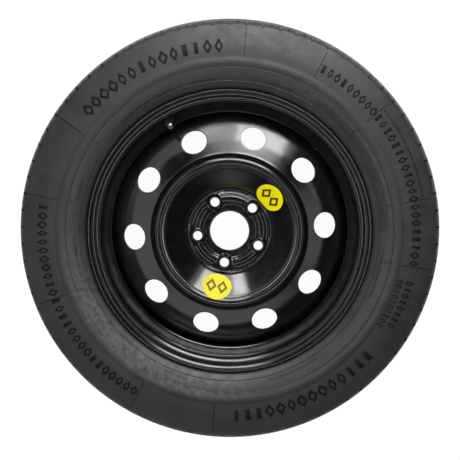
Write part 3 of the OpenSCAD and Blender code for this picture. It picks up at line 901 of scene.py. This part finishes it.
def weld_run():
    section = np.array([(0, 0), (-1, 0), (-0.86, -0.3), (-0.62, -0.62), (-0.3, -0.86), (0, -1)])
    angles = np.radians(np.linspace(WELD_START, WELD_START + WELD_ARC, WELD_COLUMNS + 1))
    points, faces = [], []
    for j, angle in enumerate(angles):
        t = j / WELD_COLUMNS
        end = min(t, 1 - t) * WELD_ARC
        size = WELD_LEG * min(1, 0.45 + end) * (1 - 0.06 * (0.5 + 0.5 * math.sin(2 * math.pi * RIPPLES * t)))
        for x, y in section:
            points.append(clock(WELD_CORNER[0] + x * size, angle, WELD_CORNER[1] + y * size))
    wide = len(section)
    for j in range(WELD_COLUMNS):
        for i in range(wide):
            a, b = j * wide + i, j * wide + (i + 1) % wide
            faces.append((a, b, b + wide, a + wide))
    faces.append(tuple(range(wide))[::-1])
    faces.append(tuple(WELD_COLUMNS * wide + i for i in range(wide)))
    mesh = bpy.data.meshes.new("weld_run")
    mesh.from_pydata(points, [], faces)
    return mesh


welds = piece_from("weld_runs", weld_run())
add_tree(welds, turned_copies, Count=8, Step=math.radians(45), Merge_Distance=0.0)
baked(welds)
settle(welds, "wheel", "black_paint", "rim_welds")

# %% [markdown]
# ## Valve
# The valve stands square on the rim's slope. Its rubber and its plated tube are both turned shapes, so each is a
# closed outline spun about the valve's axis. The tube's outline is waved along a helix where the thread runs, which
# is lighter than a swept thread and has no seams.

# %% Spin a closed outline about the valve's axis
VALVE_TILT = OUTER_RAMP
valve_r = VALVE_RADIUS
valve_z = valve_height + RIM_SHEET / math.cos(VALVE_TILT)
valve_place = (Matrix.Rotation(-math.radians(VALVE_ANGLE), 4, "Z")
               @ Matrix.Translation((0, valve_r * MM, valve_z * MM))
               @ Matrix.Rotation(VALVE_TILT, 4, "X"))


def spun(name, outline, columns, wave=None):
    """A turned body from a closed outline of (radius, height), listed so that its outside is walked upwards."""
    points, faces = [], []
    tall = len(outline)
    for j in range(columns):
        turn = 2 * math.pi * j / columns
        for r, z in outline:
            r = r + wave(r, z, turn) if wave else r
            points.append(valve_place @ Vector((r * math.cos(turn) * MM, r * math.sin(turn) * MM, z * MM)))
    for j in range(columns):
        k = (j + 1) % columns
        for i in range(tall):
            m = (i + 1) % tall
            faces.append((j * tall + i, k * tall + i, k * tall + m, j * tall + m))
    mesh = bpy.data.meshes.new(name)
    mesh.from_pydata(points, [], faces)
    return piece_from(name, mesh)


print("valve foot at", [round(v / MM, 1) for v in valve_place.translation])

# %% Rubber and plated tube of the valve
STEM_TOP = 29
RUBBER_TOP = 19
BORE_FOOT = 18.65
BORE_SHOULDER = 20.25
THREAD_PITCH = 0.8
THREAD_DEPTH = 0.42

rubber_outside = rounded([(3.6, -11.1, 0), (5.6, -11.1, 1), (7.3, -6.2, 4), (7.5, -4.9, 1.2), (6.6, -3.3, 0.6),
                          (5.6, -2.65, 0), (5.6, 0.05, 0), (7.1, 0.05, 0), (7.1, 1.6, 0.8), (5.75, 3.4, 2.2),
                          (5.2, 12, 6), (5.2, RUBBER_TOP, 0.7), (3.6, RUBBER_TOP, 0)], 20)
rubber = spun("valve_body", spaced(rubber_outside, 2), 64)
baked(rubber)
settle(rubber, "wheel", "valve_rubber", "valve_rubber")


def thread(r, z, turn):
    """Cut of the outer thread at a height, fading out at both its ends."""
    if r < 3.6 or not RUBBER_TOP + 0.2 < z < STEM_TOP - 0.1:
        return 0
    phase = (z / THREAD_PITCH - turn / (2 * math.pi)) % 1
    fade = min(1, (z - RUBBER_TOP - 0.2) / 0.6, (STEM_TOP - 0.1 - z) / 0.5)
    return -THREAD_DEPTH * fade * abs(2 * phase - 1)


stem_path = [(3.5, -9.6, 0), (3.5, RUBBER_TOP, 0), (3.85, RUBBER_TOP, 0), (3.85, STEM_TOP - 0.5, 0),
             (3.4, STEM_TOP, 0), (2.8, STEM_TOP, 0), (2.65, STEM_TOP - 0.3, 0), (2.65, BORE_SHOULDER, 0),
             (2.3, BORE_FOOT, 0), (2.3, -9.6, 0)]
straight = np.array([p[:2] for p in stem_path], float)
shank = np.stack([np.full(80, 3.85), np.linspace(RUBBER_TOP, STEM_TOP - 0.5, 80)], axis=1)
stem_outline = np.vstack([straight[:2], shank, straight[4:]])
stem = spun("valve_tube", stem_outline, 48, thread)
baked(stem)
settle(stem, "wheel", "plated_brass", "valve_stem")

# %% [markdown]
# The valve core's spring is wound wire with a closed turn at each end. The pin's collar stands on it, so it gets
# shorter as the pin goes down. A swept wire shows the winding.

# %% Spring of the valve core
SPRING_RADIUS = 1.25
WIRE_RADIUS = 0.2
SPRING_TURNS = (0, 1, 4, 5)
SPRING_HEIGHTS = (21.3, 21.72, 25.28, 25.7)
TURN_STEPS = 24
WIRE_SIDES = 10


def spring_wire():
    points, faces = [], []
    steps = SPRING_TURNS[-1] * TURN_STEPS
    for i in range(steps + 1):
        turn = 2 * math.pi * i / TURN_STEPS
        height = np.interp(i / TURN_STEPS, SPRING_TURNS, SPRING_HEIGHTS)
        for j in range(WIRE_SIDES):
            side = 2 * math.pi * j / WIRE_SIDES
            r, z = SPRING_RADIUS + WIRE_RADIUS * math.cos(side), height + WIRE_RADIUS * math.sin(side)
            points.append(valve_place @ Vector((r * math.cos(turn) * MM, r * math.sin(turn) * MM, z * MM)))
    for i in range(steps):
        for j in range(WIRE_SIDES):
            a, b = i * WIRE_SIDES + j, i * WIRE_SIDES + (j + 1) % WIRE_SIDES
            faces.append((a, a + WIRE_SIDES, b + WIRE_SIDES, b))
    first = tuple(range(WIRE_SIDES))
    faces += [first, tuple(steps * WIRE_SIDES + j for j in reversed(first))]
    mesh = bpy.data.meshes.new("valve_spring")
    mesh.from_pydata(points, [], faces)
    return mesh


spring = piece_from("valve_spring", spring_wire())
baked(spring)
settle(spring, "wheel", "spring_steel", "core_spring")
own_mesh(spring)

# %% [markdown]
# ## Labels
# Two round vinyl labels are stuck on the dish and bend with it. Each is a disc of rings that is laid on the steel's
# own section and lifted by its glue and its thickness. A UV map carries the label's own flat coordinates to its
# printed mark, so the mark bends with the vinyl.

# %% Lay a label on the dish
LABEL_RADIUS = 24.75
LABEL_LIFT = 0.06
LABEL_THICKNESS = 0.18
LABEL_RINGS = 26
LABEL_SPOKES = 96
DISH_SLOPE = math.atan2(28.5, 35)
dish_rows = disc_outline[disc_outline[:, 0] < 131]


def on_dish(u, v, middle, lift):
    """Distance from the axis and height of a label's point, u across and v up the dish, both in mm."""
    middle_z = 9.5 + (middle - 73.5) * math.tan(DISH_SLOPE)
    w = 0.0
    for _ in range(60):
        x = middle + v * math.cos(DISH_SLOPE) - w * math.sin(DISH_SLOPE)
        z = middle_z + v * math.sin(DISH_SLOPE) + w * math.cos(DISH_SLOPE)
        w += 0.5 * (np.interp(math.hypot(x, u), dish_rows[:, 0], dish_rows[:, 1]) - z)
    w += lift
    x = middle + v * math.cos(DISH_SLOPE) - w * math.sin(DISH_SLOPE)
    z = middle_z + v * math.sin(DISH_SLOPE) + w * math.cos(DISH_SLOPE)
    return x, z


def label(name, angle, middle, node):
    rings = [(LABEL_LIFT, LABEL_RADIUS * k / LABEL_RINGS) for k in range(1, LABEL_RINGS + 1)]
    layers = [(LABEL_LIFT + LABEL_THICKNESS, rho) for _, rho in rings] + rings[::-1]
    flat, points, faces = [(0, 0)], [], []
    flat += [(rho * math.sin(t), rho * math.cos(t)) for _, rho in layers
             for t in np.radians(np.arange(LABEL_SPOKES) * 360 / LABEL_SPOKES)]
    flat.append((0, 0))
    lifts = [LABEL_LIFT + LABEL_THICKNESS] + [lift for lift, _ in layers for _ in range(LABEL_SPOKES)] + [LABEL_LIFT]
    for (u, v), lift in zip(flat, lifts):
        x, z = on_dish(u, v, middle, lift)
        points.append(clock(math.hypot(x, u), math.radians(angle) + math.atan2(u, x), z))
    n = LABEL_SPOKES
    for k in range(n):
        m = (k + 1) % n
        faces.append((0, 1 + m, 1 + k))
        for i in range(len(layers) - 1):
            a = 1 + i * n
            faces.append((a + k, a + m, a + n + m, a + n + k))
        last = 1 + (len(layers) - 1) * n
        faces.append((last + k, last + m, len(points) - 1))
    mesh = bpy.data.meshes.new(name)
    mesh.from_pydata(points, [], faces)
    uv = mesh.uv_layers.new(name="flat")
    for loop in mesh.loops:
        u, v = flat[loop.vertex_index]
        uv.data[loop.index].uv = (0.5 + u / LABEL_RADIUS / 2, 0.5 + v / LABEL_RADIUS / 2)
    piece = piece_from(name, mesh)
    baked(piece)
    return settle(piece, "wheel", "yellow_vinyl", node)


upper = label("round_label_upper", 49.8, 89, "upper_label")
lower = label("round_label_lower", 193, 94, "lower_label")

# %% [markdown]
# ## Finishes
# Three effects are shared by several finishes, so each is a small shader group: a fine grain for the bump, a slow
# mottle for colour and roughness, and a film of dust that lies in a ring round the axis. They give only values and
# masks. The Principled shader stays in each material.

# %% Shader groups


def new_group(name, inputs, output):
    group = bpy.data.node_groups.new(name, "ShaderNodeTree")
    group.interface.new_socket("Vector", in_out="INPUT", socket_type="NodeSocketVector")
    for label_text, default in inputs:
        socket = group.interface.new_socket(label_text, in_out="INPUT", socket_type="NodeSocketFloat")
        socket.default_value = default
    group.interface.new_socket(output, in_out="OUTPUT", socket_type="NodeSocketFloat")
    return group, group.nodes.new("NodeGroupInput"), group.nodes.new("NodeGroupOutput")


def noise_node(tree, vector, scale, detail):
    node = tree.nodes.new("ShaderNodeTexNoise")
    node.inputs["Detail"].default_value = detail
    tree.links.new(vector, node.inputs["Vector"])
    if isinstance(scale, (int, float)):
        node.inputs["Scale"].default_value = scale
    else:
        tree.links.new(scale, node.inputs["Scale"])
    return node.outputs[0]


def remap(tree, value, low, high, to_low, to_high):
    node = tree.nodes.new("ShaderNodeMapRange")
    for socket, given in zip(node.inputs, (value, low, high, to_low, to_high)):
        if isinstance(given, (int, float)):
            socket.default_value = given
        else:
            tree.links.new(given, socket)
    return node.outputs[0]


def mottle_group():
    group, source, out = new_group("slow_mottle", [("Scale", 20.0), ("Low", 0.0), ("High", 1.0)], "Value")
    noise = noise_node(group, source.outputs["Vector"], source.outputs["Scale"], 4)
    value = remap(group, noise, 0.35, 0.65, source.outputs["Low"], source.outputs["High"])
    group.links.new(value, out.inputs[0])
    return group


def grain_group():
    group, source, out = new_group("fine_grain", [("Scale", 900.0), ("Coarse Share", 0.3)], "Height")
    fine = noise_node(group, source.outputs["Vector"], source.outputs["Scale"], 2)
    wide = math_node(group, "MULTIPLY", source.outputs["Scale"], 0.15)
    coarse = noise_node(group, source.outputs["Vector"], wide, 2)
    share = math_node(group, "MULTIPLY", coarse, source.outputs["Coarse Share"])
    group.links.new(math_node(group, "ADD", fine, share), out.inputs[0])
    return group


def dust_group():
    """Dust between two radii, thickest about one clockwise angle."""
    inputs = [("Inner", 0.24), ("Outer", 0.27), ("Angle", 0.0), ("Spread", 0.5), ("Floor", 0.1), ("Scale", 60.0)]
    group, source, out = new_group("dust_ring", inputs, "Mask")
    get = source.outputs
    place = group.nodes.new("ShaderNodeSeparateXYZ")
    group.links.new(get["Vector"], place.inputs[0])
    x, y = place.outputs[0], place.outputs[1]
    radius = math_node(group, "SQRT", math_node(group, "ADD", math_node(group, "MULTIPLY", x, x),
                                                math_node(group, "MULTIPLY", y, y)), 0)
    middle = math_node(group, "MULTIPLY", math_node(group, "ADD", get["Inner"], get["Outer"]), 0.5)
    half = math_node(group, "MULTIPLY", math_node(group, "SUBTRACT", get["Outer"], get["Inner"]), 0.5)
    away = math_node(group, "DIVIDE", math_node(group, "ABSOLUTE", math_node(group, "SUBTRACT", radius, middle), 0),
                     half)
    ring = remap(group, away, 0.4, 1.0, 1.0, 0.0)
    turn = math_node(group, "SUBTRACT", math_node(group, "ARCTAN2", x, y), get["Angle"])
    aim = remap(group, math_node(group, "COSINE", turn, 0), math_node(group, "COSINE", get["Spread"], 0), 1.0,
                get["Floor"], 1.0)
    specks = remap(group, noise_node(group, get["Vector"], get["Scale"], 8), 0.36, 0.74, 0.1, 1.0)
    group.links.new(math_node(group, "MULTIPLY", math_node(group, "MULTIPLY", ring, aim), specks), out.inputs[0])
    return group


slow_mottle, fine_grain, dust_ring = mottle_group(), grain_group(), dust_group()
print("shader groups:", slow_mottle.name, fine_grain.name, dust_ring.name)

# %% Tools for materials


class Finish:
    """A material with its Principled shader and Object coordinates at hand."""

    def __init__(self, name, colour, roughness, metallic=0.0):
        self.material = bpy.data.materials.new(name)
        self.material.use_nodes = True
        self.tree = self.material.node_tree
        self.shader = self.tree.nodes["Principled BSDF"]
        self.shader.inputs["Base Color"].default_value = (*colour, 1)
        self.shader.inputs["Roughness"].default_value = roughness
        self.shader.inputs["Metallic"].default_value = metallic
        self.place = self.tree.nodes.new("ShaderNodeTexCoord").outputs["Object"]

    def effect(self, group, **values):
        node = self.tree.nodes.new("ShaderNodeGroup")
        node.node_tree = group
        self.tree.links.new(self.place, node.inputs["Vector"])
        for label_text, value in values.items():
            node.inputs[label_text.replace("_", " ")].default_value = value
        return node.outputs[0]

    def bump(self, height, distance, strength=1.0):
        node = self.tree.nodes.new("ShaderNodeBump")
        node.inputs["Distance"].default_value = distance
        node.inputs["Strength"].default_value = strength
        self.tree.links.new(height, node.inputs["Height"])
        self.tree.links.new(node.outputs[0], self.shader.inputs["Normal"])

    def mix(self, mask, first, second):
        """A colour between two, each a colour or another node's output."""
        node = self.tree.nodes.new("ShaderNodeMix")
        node.data_type = "RGBA"
        self.tree.links.new(mask, node.inputs["Factor"])
        for socket, value in ((node.inputs[6], first), (node.inputs[7], second)):
            if isinstance(value, tuple):
                socket.default_value = (*value, 1)
            else:
                self.tree.links.new(value, socket)
        return node.outputs[2]

    def send(self, value, socket):
        self.tree.links.new(value, self.shader.inputs[socket])


print("a Finish holds a material, its shader and its coordinates")

# %% [markdown]
# Tyre rubber is dark grey and dull. Its mould left a fine grain, it is never one even colour, and here pale dust
# lies beside the rim at the lower left.

# %% Rubber of the tyre and of the valve
RUBBER = (0.016, 0.016, 0.0165)
RUBBER_WORN = (0.023, 0.023, 0.0235)
# MARK_PAINTED_SHADE is painted shade: the raised marks and mould lines get a darker colour than the tyre's rubber,
# standing in for the dark that their glossy faces catch.
MARK_PAINTED_SHADE = (0.004, 0.004, 0.0042)
DUST = (0.11, 0.108, 0.103)


def tyre_finish(name, darkest, palest, smoothest, sheen):
    finish = Finish(name, darkest, 0.6)
    finish.shader.inputs["Specular IOR Level"].default_value = sheen
    tone = finish.effect(slow_mottle, Scale=26.0)
    dust = finish.effect(dust_ring, Inner=0.240, Outer=0.288, Angle=math.radians(220), Spread=math.radians(52),
                         Floor=0.12, Scale=110.0)
    finish.send(finish.mix(dust, finish.mix(tone, darkest, palest), DUST), "Base Color")
    finish.send(finish.effect(slow_mottle, Scale=60.0, Low=smoothest, High=smoothest + 0.12), "Roughness")
    finish.bump(finish.effect(fine_grain, Scale=700.0, Coarse_Share=0.6), 0.00016)
    return finish.material


def valve_rubber_finish():
    finish = Finish("valve_rubber", (0.022, 0.022, 0.024), 0.5)
    finish.send(finish.mix(finish.effect(slow_mottle, Scale=120.0), (0.018, 0.018, 0.02), (0.03, 0.03, 0.031)),
                "Base Color")
    finish.send(finish.effect(slow_mottle, Scale=260.0, Low=0.42, High=0.58), "Roughness")
    finish.bump(finish.effect(fine_grain, Scale=1500.0, Coarse_Share=0.4), 0.00004)
    return finish.material


tyre_rubber = tyre_finish("tyre_rubber", RUBBER, RUBBER_WORN, 0.42, 0.42)
# The marks' finish is the tyre's rubber in the darker colour above, which is painted shade.
mark_rubber = tyre_finish("mark_rubber", MARK_PAINTED_SHADE, MARK_PAINTED_SHADE, 0.5, 0.16)
valve_rubber = valve_rubber_finish()
print("rubber finishes:", tyre_rubber.name, mark_rubber.name, valve_rubber.name)

# %% [markdown]
# The steel is dipped in black paint, which dries with a semi-gloss and a faint orange peel. A bare black with a low
# roughness would look like plastic, so the roughness wanders and the surface waves a little.

# %% Black paint
PAINT = (0.004, 0.004, 0.0043)
PAINT_DUSTY = (0.0075, 0.0075, 0.0078)
PAINT_IOR = 1.62


def paint_finish():
    finish = Finish("black_paint", PAINT, 0.13)
    finish.shader.inputs["IOR"].default_value = PAINT_IOR
    finish.send(finish.mix(finish.effect(slow_mottle, Scale=34.0), PAINT, PAINT_DUSTY), "Base Color")
    finish.send(finish.effect(slow_mottle, Scale=70.0, Low=0.12, High=0.17), "Roughness")
    finish.bump(finish.effect(fine_grain, Scale=420.0, Coarse_Share=0.8), 0.00002)
    return finish.material


black_paint = paint_finish()
print("paint finish:", black_paint.name)

# %% Metals and the small sealing parts


def metal_finish(name, colour, darker, roughness, grain, depth):
    finish = Finish(name, colour, roughness, 1.0)
    finish.send(finish.mix(finish.effect(slow_mottle, Scale=300.0), colour, darker), "Base Color")
    finish.send(finish.effect(slow_mottle, Scale=500.0, Low=roughness - 0.06, High=roughness + 0.08), "Roughness")
    finish.bump(finish.effect(fine_grain, Scale=grain, Coarse_Share=0.3), depth)
    return finish.material


def gasket_finish():
    finish = Finish("white_gasket", (0.72, 0.71, 0.67), 0.45)
    finish.send(finish.mix(finish.effect(slow_mottle, Scale=400.0), (0.72, 0.71, 0.67), (0.6, 0.59, 0.55)),
                "Base Color")
    return finish.material


plated_brass = metal_finish("plated_brass", (0.42, 0.415, 0.4), (0.3, 0.295, 0.28), 0.3, 3000.0, 0.00001)
# The core's brass is painted shade: it is coloured far darker than brass, so that the deep bore of the valve it sits in
# looks shadowed.
brass = metal_finish("turned_brass", (0.26, 0.23, 0.16), (0.17, 0.15, 0.1), 0.4, 4000.0, 0.00001)
spring_steel = metal_finish("spring_steel", (0.62, 0.62, 0.63), (0.5, 0.5, 0.51), 0.32, 4000.0, 0.00001)
white_gasket = gasket_finish()
print("metal finishes:", plated_brass.name, brass.name, spring_steel.name)

# %% [markdown]
# The vinyl is a strong clean yellow. Its print is a plain mark: two upright diamonds side by side. It is
# drawn by distances in the label's own flat coordinates, so it needs no picture.

# %% Yellow vinyl with a plain mark
VINYL = (1.0, 0.86, 0.0)
VINYL_SHADE = (0.93, 0.78, 0.0)


def diamond_ring(tree, across, up, middle, half_width, half_height, line):
    """Mask of an upright diamond outline, one where it is printed."""
    x = math_node(tree, "ABSOLUTE", math_node(tree, "SUBTRACT", across, middle[0]), 0)
    y = math_node(tree, "ABSOLUTE", math_node(tree, "SUBTRACT", up, middle[1]), 0)
    slant = half_width / math.hypot(half_width, half_height)
    rise = half_height / math.hypot(half_width, half_height)
    distance = math_node(tree, "ADD", math_node(tree, "MULTIPLY", x, rise), math_node(tree, "MULTIPLY", y, slant))
    away = math_node(tree, "ABSOLUTE", math_node(tree, "SUBTRACT", distance, half_width * rise - line / 2), 0)
    return remap(tree, away, line / 2 - 0.004, line / 2 + 0.004, 1.0, 0.0)


def vinyl_finish(name, ink):
    finish = Finish(name, VINYL, 0.5)
    finish.shader.inputs["Specular IOR Level"].default_value = 0.22
    tree = finish.tree
    flat = tree.nodes.new("ShaderNodeUVMap")
    flat.uv_map = "flat"
    place = tree.nodes.new("ShaderNodeSeparateXYZ")
    tree.links.new(flat.outputs[0], place.inputs[0])
    across, up = place.outputs[0], place.outputs[1]
    mask = diamond_ring(tree, across, up, (0.31, 0.5), 0.18, 0.27, 0.075)
    mask = math_node(tree, "MAXIMUM", mask, diamond_ring(tree, across, up, (0.69, 0.5), 0.18, 0.27, 0.075))
    tone = finish.effect(slow_mottle, Scale=60.0)
    finish.send(finish.mix(mask, finish.mix(tone, VINYL, VINYL_SHADE), ink), "Base Color")
    finish.send(finish.effect(slow_mottle, Scale=140.0, Low=0.46, High=0.56), "Roughness")
    finish.bump(finish.effect(fine_grain, Scale=900.0, Coarse_Share=1.0), 0.00002)
    return finish.material


upper_vinyl = vinyl_finish("yellow_vinyl_dark_ink", (0.055, 0.03, 0.004))
lower_vinyl = vinyl_finish("yellow_vinyl_brown_ink", (0.16, 0.1, 0.004))
print("vinyl finishes:", upper_vinyl.name, lower_vinyl.name)

# %% Give every piece its finish


def finish_with(material, *pieces):
    for piece in pieces:
        piece.data.materials.clear()
        piece.data.materials.append(material)


def finish_cad(material, *names):
    """Changes only the material slots of CAD nodes, never their meshes' shape."""
    for node_name in names:
        for node in [o for o in bpy.data.objects if o.name == node_name or o.name.startswith(node_name + ".")]:
            if not node.material_slots:
                node.data.materials.append(material)
            for slot in node.material_slots:
                slot.link = "OBJECT"
                slot.material = material
            print(node_name, "is finished with", material.name)


finish_with(tyre_rubber, tyre)
finish_with(mark_rubber, outboard_marks, outboard_seams)
finish_with(black_paint, disc, rim, welds)
finish_with(valve_rubber, rubber)
finish_with(plated_brass, stem)
finish_with(upper_vinyl, upper)
finish_with(lower_vinyl, lower)
finish_cad(brass, "core_barrel", "core_pin", "core_cup")
finish_with(spring_steel, spring)
finish_cad(white_gasket, "core_gasket")
finish_cad(valve_rubber, "core_seat_ring")

# %% [markdown]
# ## Studio
# The wheel lies on a white floor under one large softbox at the 12 o'clock side. Overhead hangs a dark card, so that
# the paint that faces the camera stays black, as it does in a product studio. The camera doesn't see the card. A
# soft lamp above gives the rubber its even tone.

# %% World, floor and card
FLOOR_SIZE = 60
FLOOR_GLOW = 0.95
FLOOR_COLOUR = 0.14
CARD_HEIGHT = 4.6
CARD_RADIUS = 5.9
FLAG_DISTANCE = 4


def seen_rays(tree):
    """One for camera, glossy and transmission rays."""
    path = tree.nodes.new("ShaderNodeLightPath")
    both = math_node(tree, "MAXIMUM", path.outputs["Is Camera Ray"], path.outputs["Is Glossy Ray"])
    return math_node(tree, "MAXIMUM", both, path.outputs["Is Transmission Ray"])


def white_world(level):
    world = bpy.data.worlds.new("studio")
    world.use_nodes = True
    tree = world.node_tree
    light = tree.nodes["Background"]
    light.inputs["Color"].default_value = (1, 1, 1, 1)
    tree.links.new(remap(tree, seen_rays(tree), 0.0, 1.0, level, 1.0), light.inputs["Strength"])
    bpy.context.scene.world = world


def floor_finish():
    material = bpy.data.materials.new("pale_floor")
    material.use_nodes = True
    tree = material.node_tree
    shader = tree.nodes["Principled BSDF"]
    shader.inputs["Base Color"].default_value = (FLOOR_COLOUR, FLOOR_COLOUR, FLOOR_COLOUR, 1)
    shader.inputs["Roughness"].default_value = 0.9
    shader.inputs["Specular IOR Level"].default_value = 0.0
    shader.inputs["Emission Color"].default_value = (1, 1, 1, 1)
    glow = math_node(tree, "MULTIPLY", seen_rays(tree), FLOOR_GLOW)
    tree.links.new(glow, shader.inputs["Emission Strength"])
    return material


def stage_plate(name, half, height, material):
    mesh = bpy.data.meshes.new(name)
    mesh.from_pydata([(-half, -half, height), (half, -half, height), (half, half, height), (-half, half, height)],
                     [], [(0, 1, 2, 3)])
    plate = piece_from(name, mesh)
    mesh.materials.append(material)
    return plate


white_world(0.5)
floor = stage_plate("floor", FLOOR_SIZE / 2, cad_low[2] - 0.0002, floor_finish())
dark = bpy.data.materials.new("dark_card")
dark.use_nodes = True
dark.node_tree.nodes["Principled BSDF"].inputs["Base Color"].default_value = (0.01, 0.01, 0.01, 1)
dark.node_tree.nodes["Principled BSDF"].inputs["Roughness"].default_value = 1.0
card = stage_plate("dark_card", CARD_RADIUS, CARD_HEIGHT, dark)


def around(azimuth, elevation, distance):
    """A place at a clockwise azimuth from 12 o'clock and an elevation, both in degrees."""
    a, e = math.radians(azimuth), math.radians(elevation)
    return (distance * math.cos(e) * math.sin(a), distance * math.cos(e) * math.cos(a), distance * math.sin(e))


def strip(name, azimuths, lows, highs, distance, material):
    """An upright strip that stands round the wheel, between two elevations at each azimuth."""
    points = [around(a, low, distance) for a, low in zip(azimuths, lows)]
    points += [around(a, high, distance) for a, high in zip(azimuths, highs)]
    n = len(azimuths)
    mesh = bpy.data.meshes.new(name)
    mesh.from_pydata(points, [], [(k, k + 1, n + k + 1, n + k) for k in range(n - 1)])
    mesh.materials.append(material)
    piece = piece_from(name, mesh)
    piece.visible_camera = piece.visible_transmission = False
    return piece


flag_azimuths = np.linspace(42, 338, 75)
flag_tops = 20 + 7.5 * np.clip(np.cos(np.radians(flag_azimuths - 95)) * 1.6, 0, 1)
flag_feet = 3 + 6 * np.clip(np.cos(np.radians(flag_azimuths - 180)) * 5 - 4, 0, 1)
flag = strip("dark_flag", flag_azimuths, flag_feet, flag_tops, FLAG_DISTANCE, dark)
card.visible_camera = False
card.visible_transmission = False
print("floor at", round(cad_low[2] / MM, 1), "mm, card at", CARD_HEIGHT, "m, flag from", flag_azimuths[0], "degrees")

# %% Lamps


def area_lamp(name, place, size, power, target=(0, 0, 0)):
    lamp_data = bpy.data.lights.new(name, "AREA")
    lamp_data.shape = "RECTANGLE"
    lamp_data.size, lamp_data.size_y = size
    lamp_data.energy = power
    lamp = bpy.data.objects.new(name, lamp_data)
    lamp.location = place
    lamp.rotation_euler = (Vector(target) - Vector(place)).to_track_quat("-Z", "Y").to_euler()
    bpy.context.scene.collection.objects.link(lamp)
    lamp.visible_camera = False
    return lamp


def halo(elevation, width, distance, strength):
    """A thin ring of light all round the wheel, which only reflections see."""
    material = bpy.data.materials.new("halo_light")
    material.use_nodes = True
    shader = material.node_tree.nodes["Principled BSDF"]
    shader.inputs["Base Color"].default_value = (0, 0, 0, 1)
    shader.inputs["Emission Color"].default_value = (1, 1, 1, 1)
    shader.inputs["Emission Strength"].default_value = strength
    azimuths = np.linspace(0, 360, 97)
    ring = strip("halo", azimuths, np.full(97, elevation - width / 2), np.full(97, elevation + width / 2), distance,
                 material)
    ring.visible_diffuse = ring.visible_shadow = False
    return ring


softbox = area_lamp("softbox", around(8, 26, 3.3), (3.0, 1.35), 46)
softbox_core = area_lamp("softbox_core", around(20, 27, 3.1), (1.6, 1.0), 36)
low_box = area_lamp("low_softbox", around(347, 17, 3.2), (0.8, 0.5), 10)
high_box = area_lamp("high_softbox", around(8, 50, 3.4), (1.9, 0.9), 74)
for lamp in (softbox, softbox_core, low_box, high_box):
    lamp.visible_diffuse = False
key_lamp = area_lamp("key_lamp", around(8, 38, 3.2), (2, 2), 60)
fill_lamp = area_lamp("fill_lamp", around(230, 45, 3), (1.5, 1.5), 44)
top_lamp = area_lamp("top_lamp", (0, 0.3, 4.2), (3, 3), 50)
for lamp in (key_lamp, fill_lamp, top_lamp):
    lamp.visible_glossy = False
ring_light = halo(73, 4, 4, 7)
bpy.context.scene.view_settings.view_transform = "Standard"
print("lamps:", softbox.name, softbox_core.name, low_box.name, high_box.name, key_lamp.name, fill_lamp.name, top_lamp.name, ring_light.name)
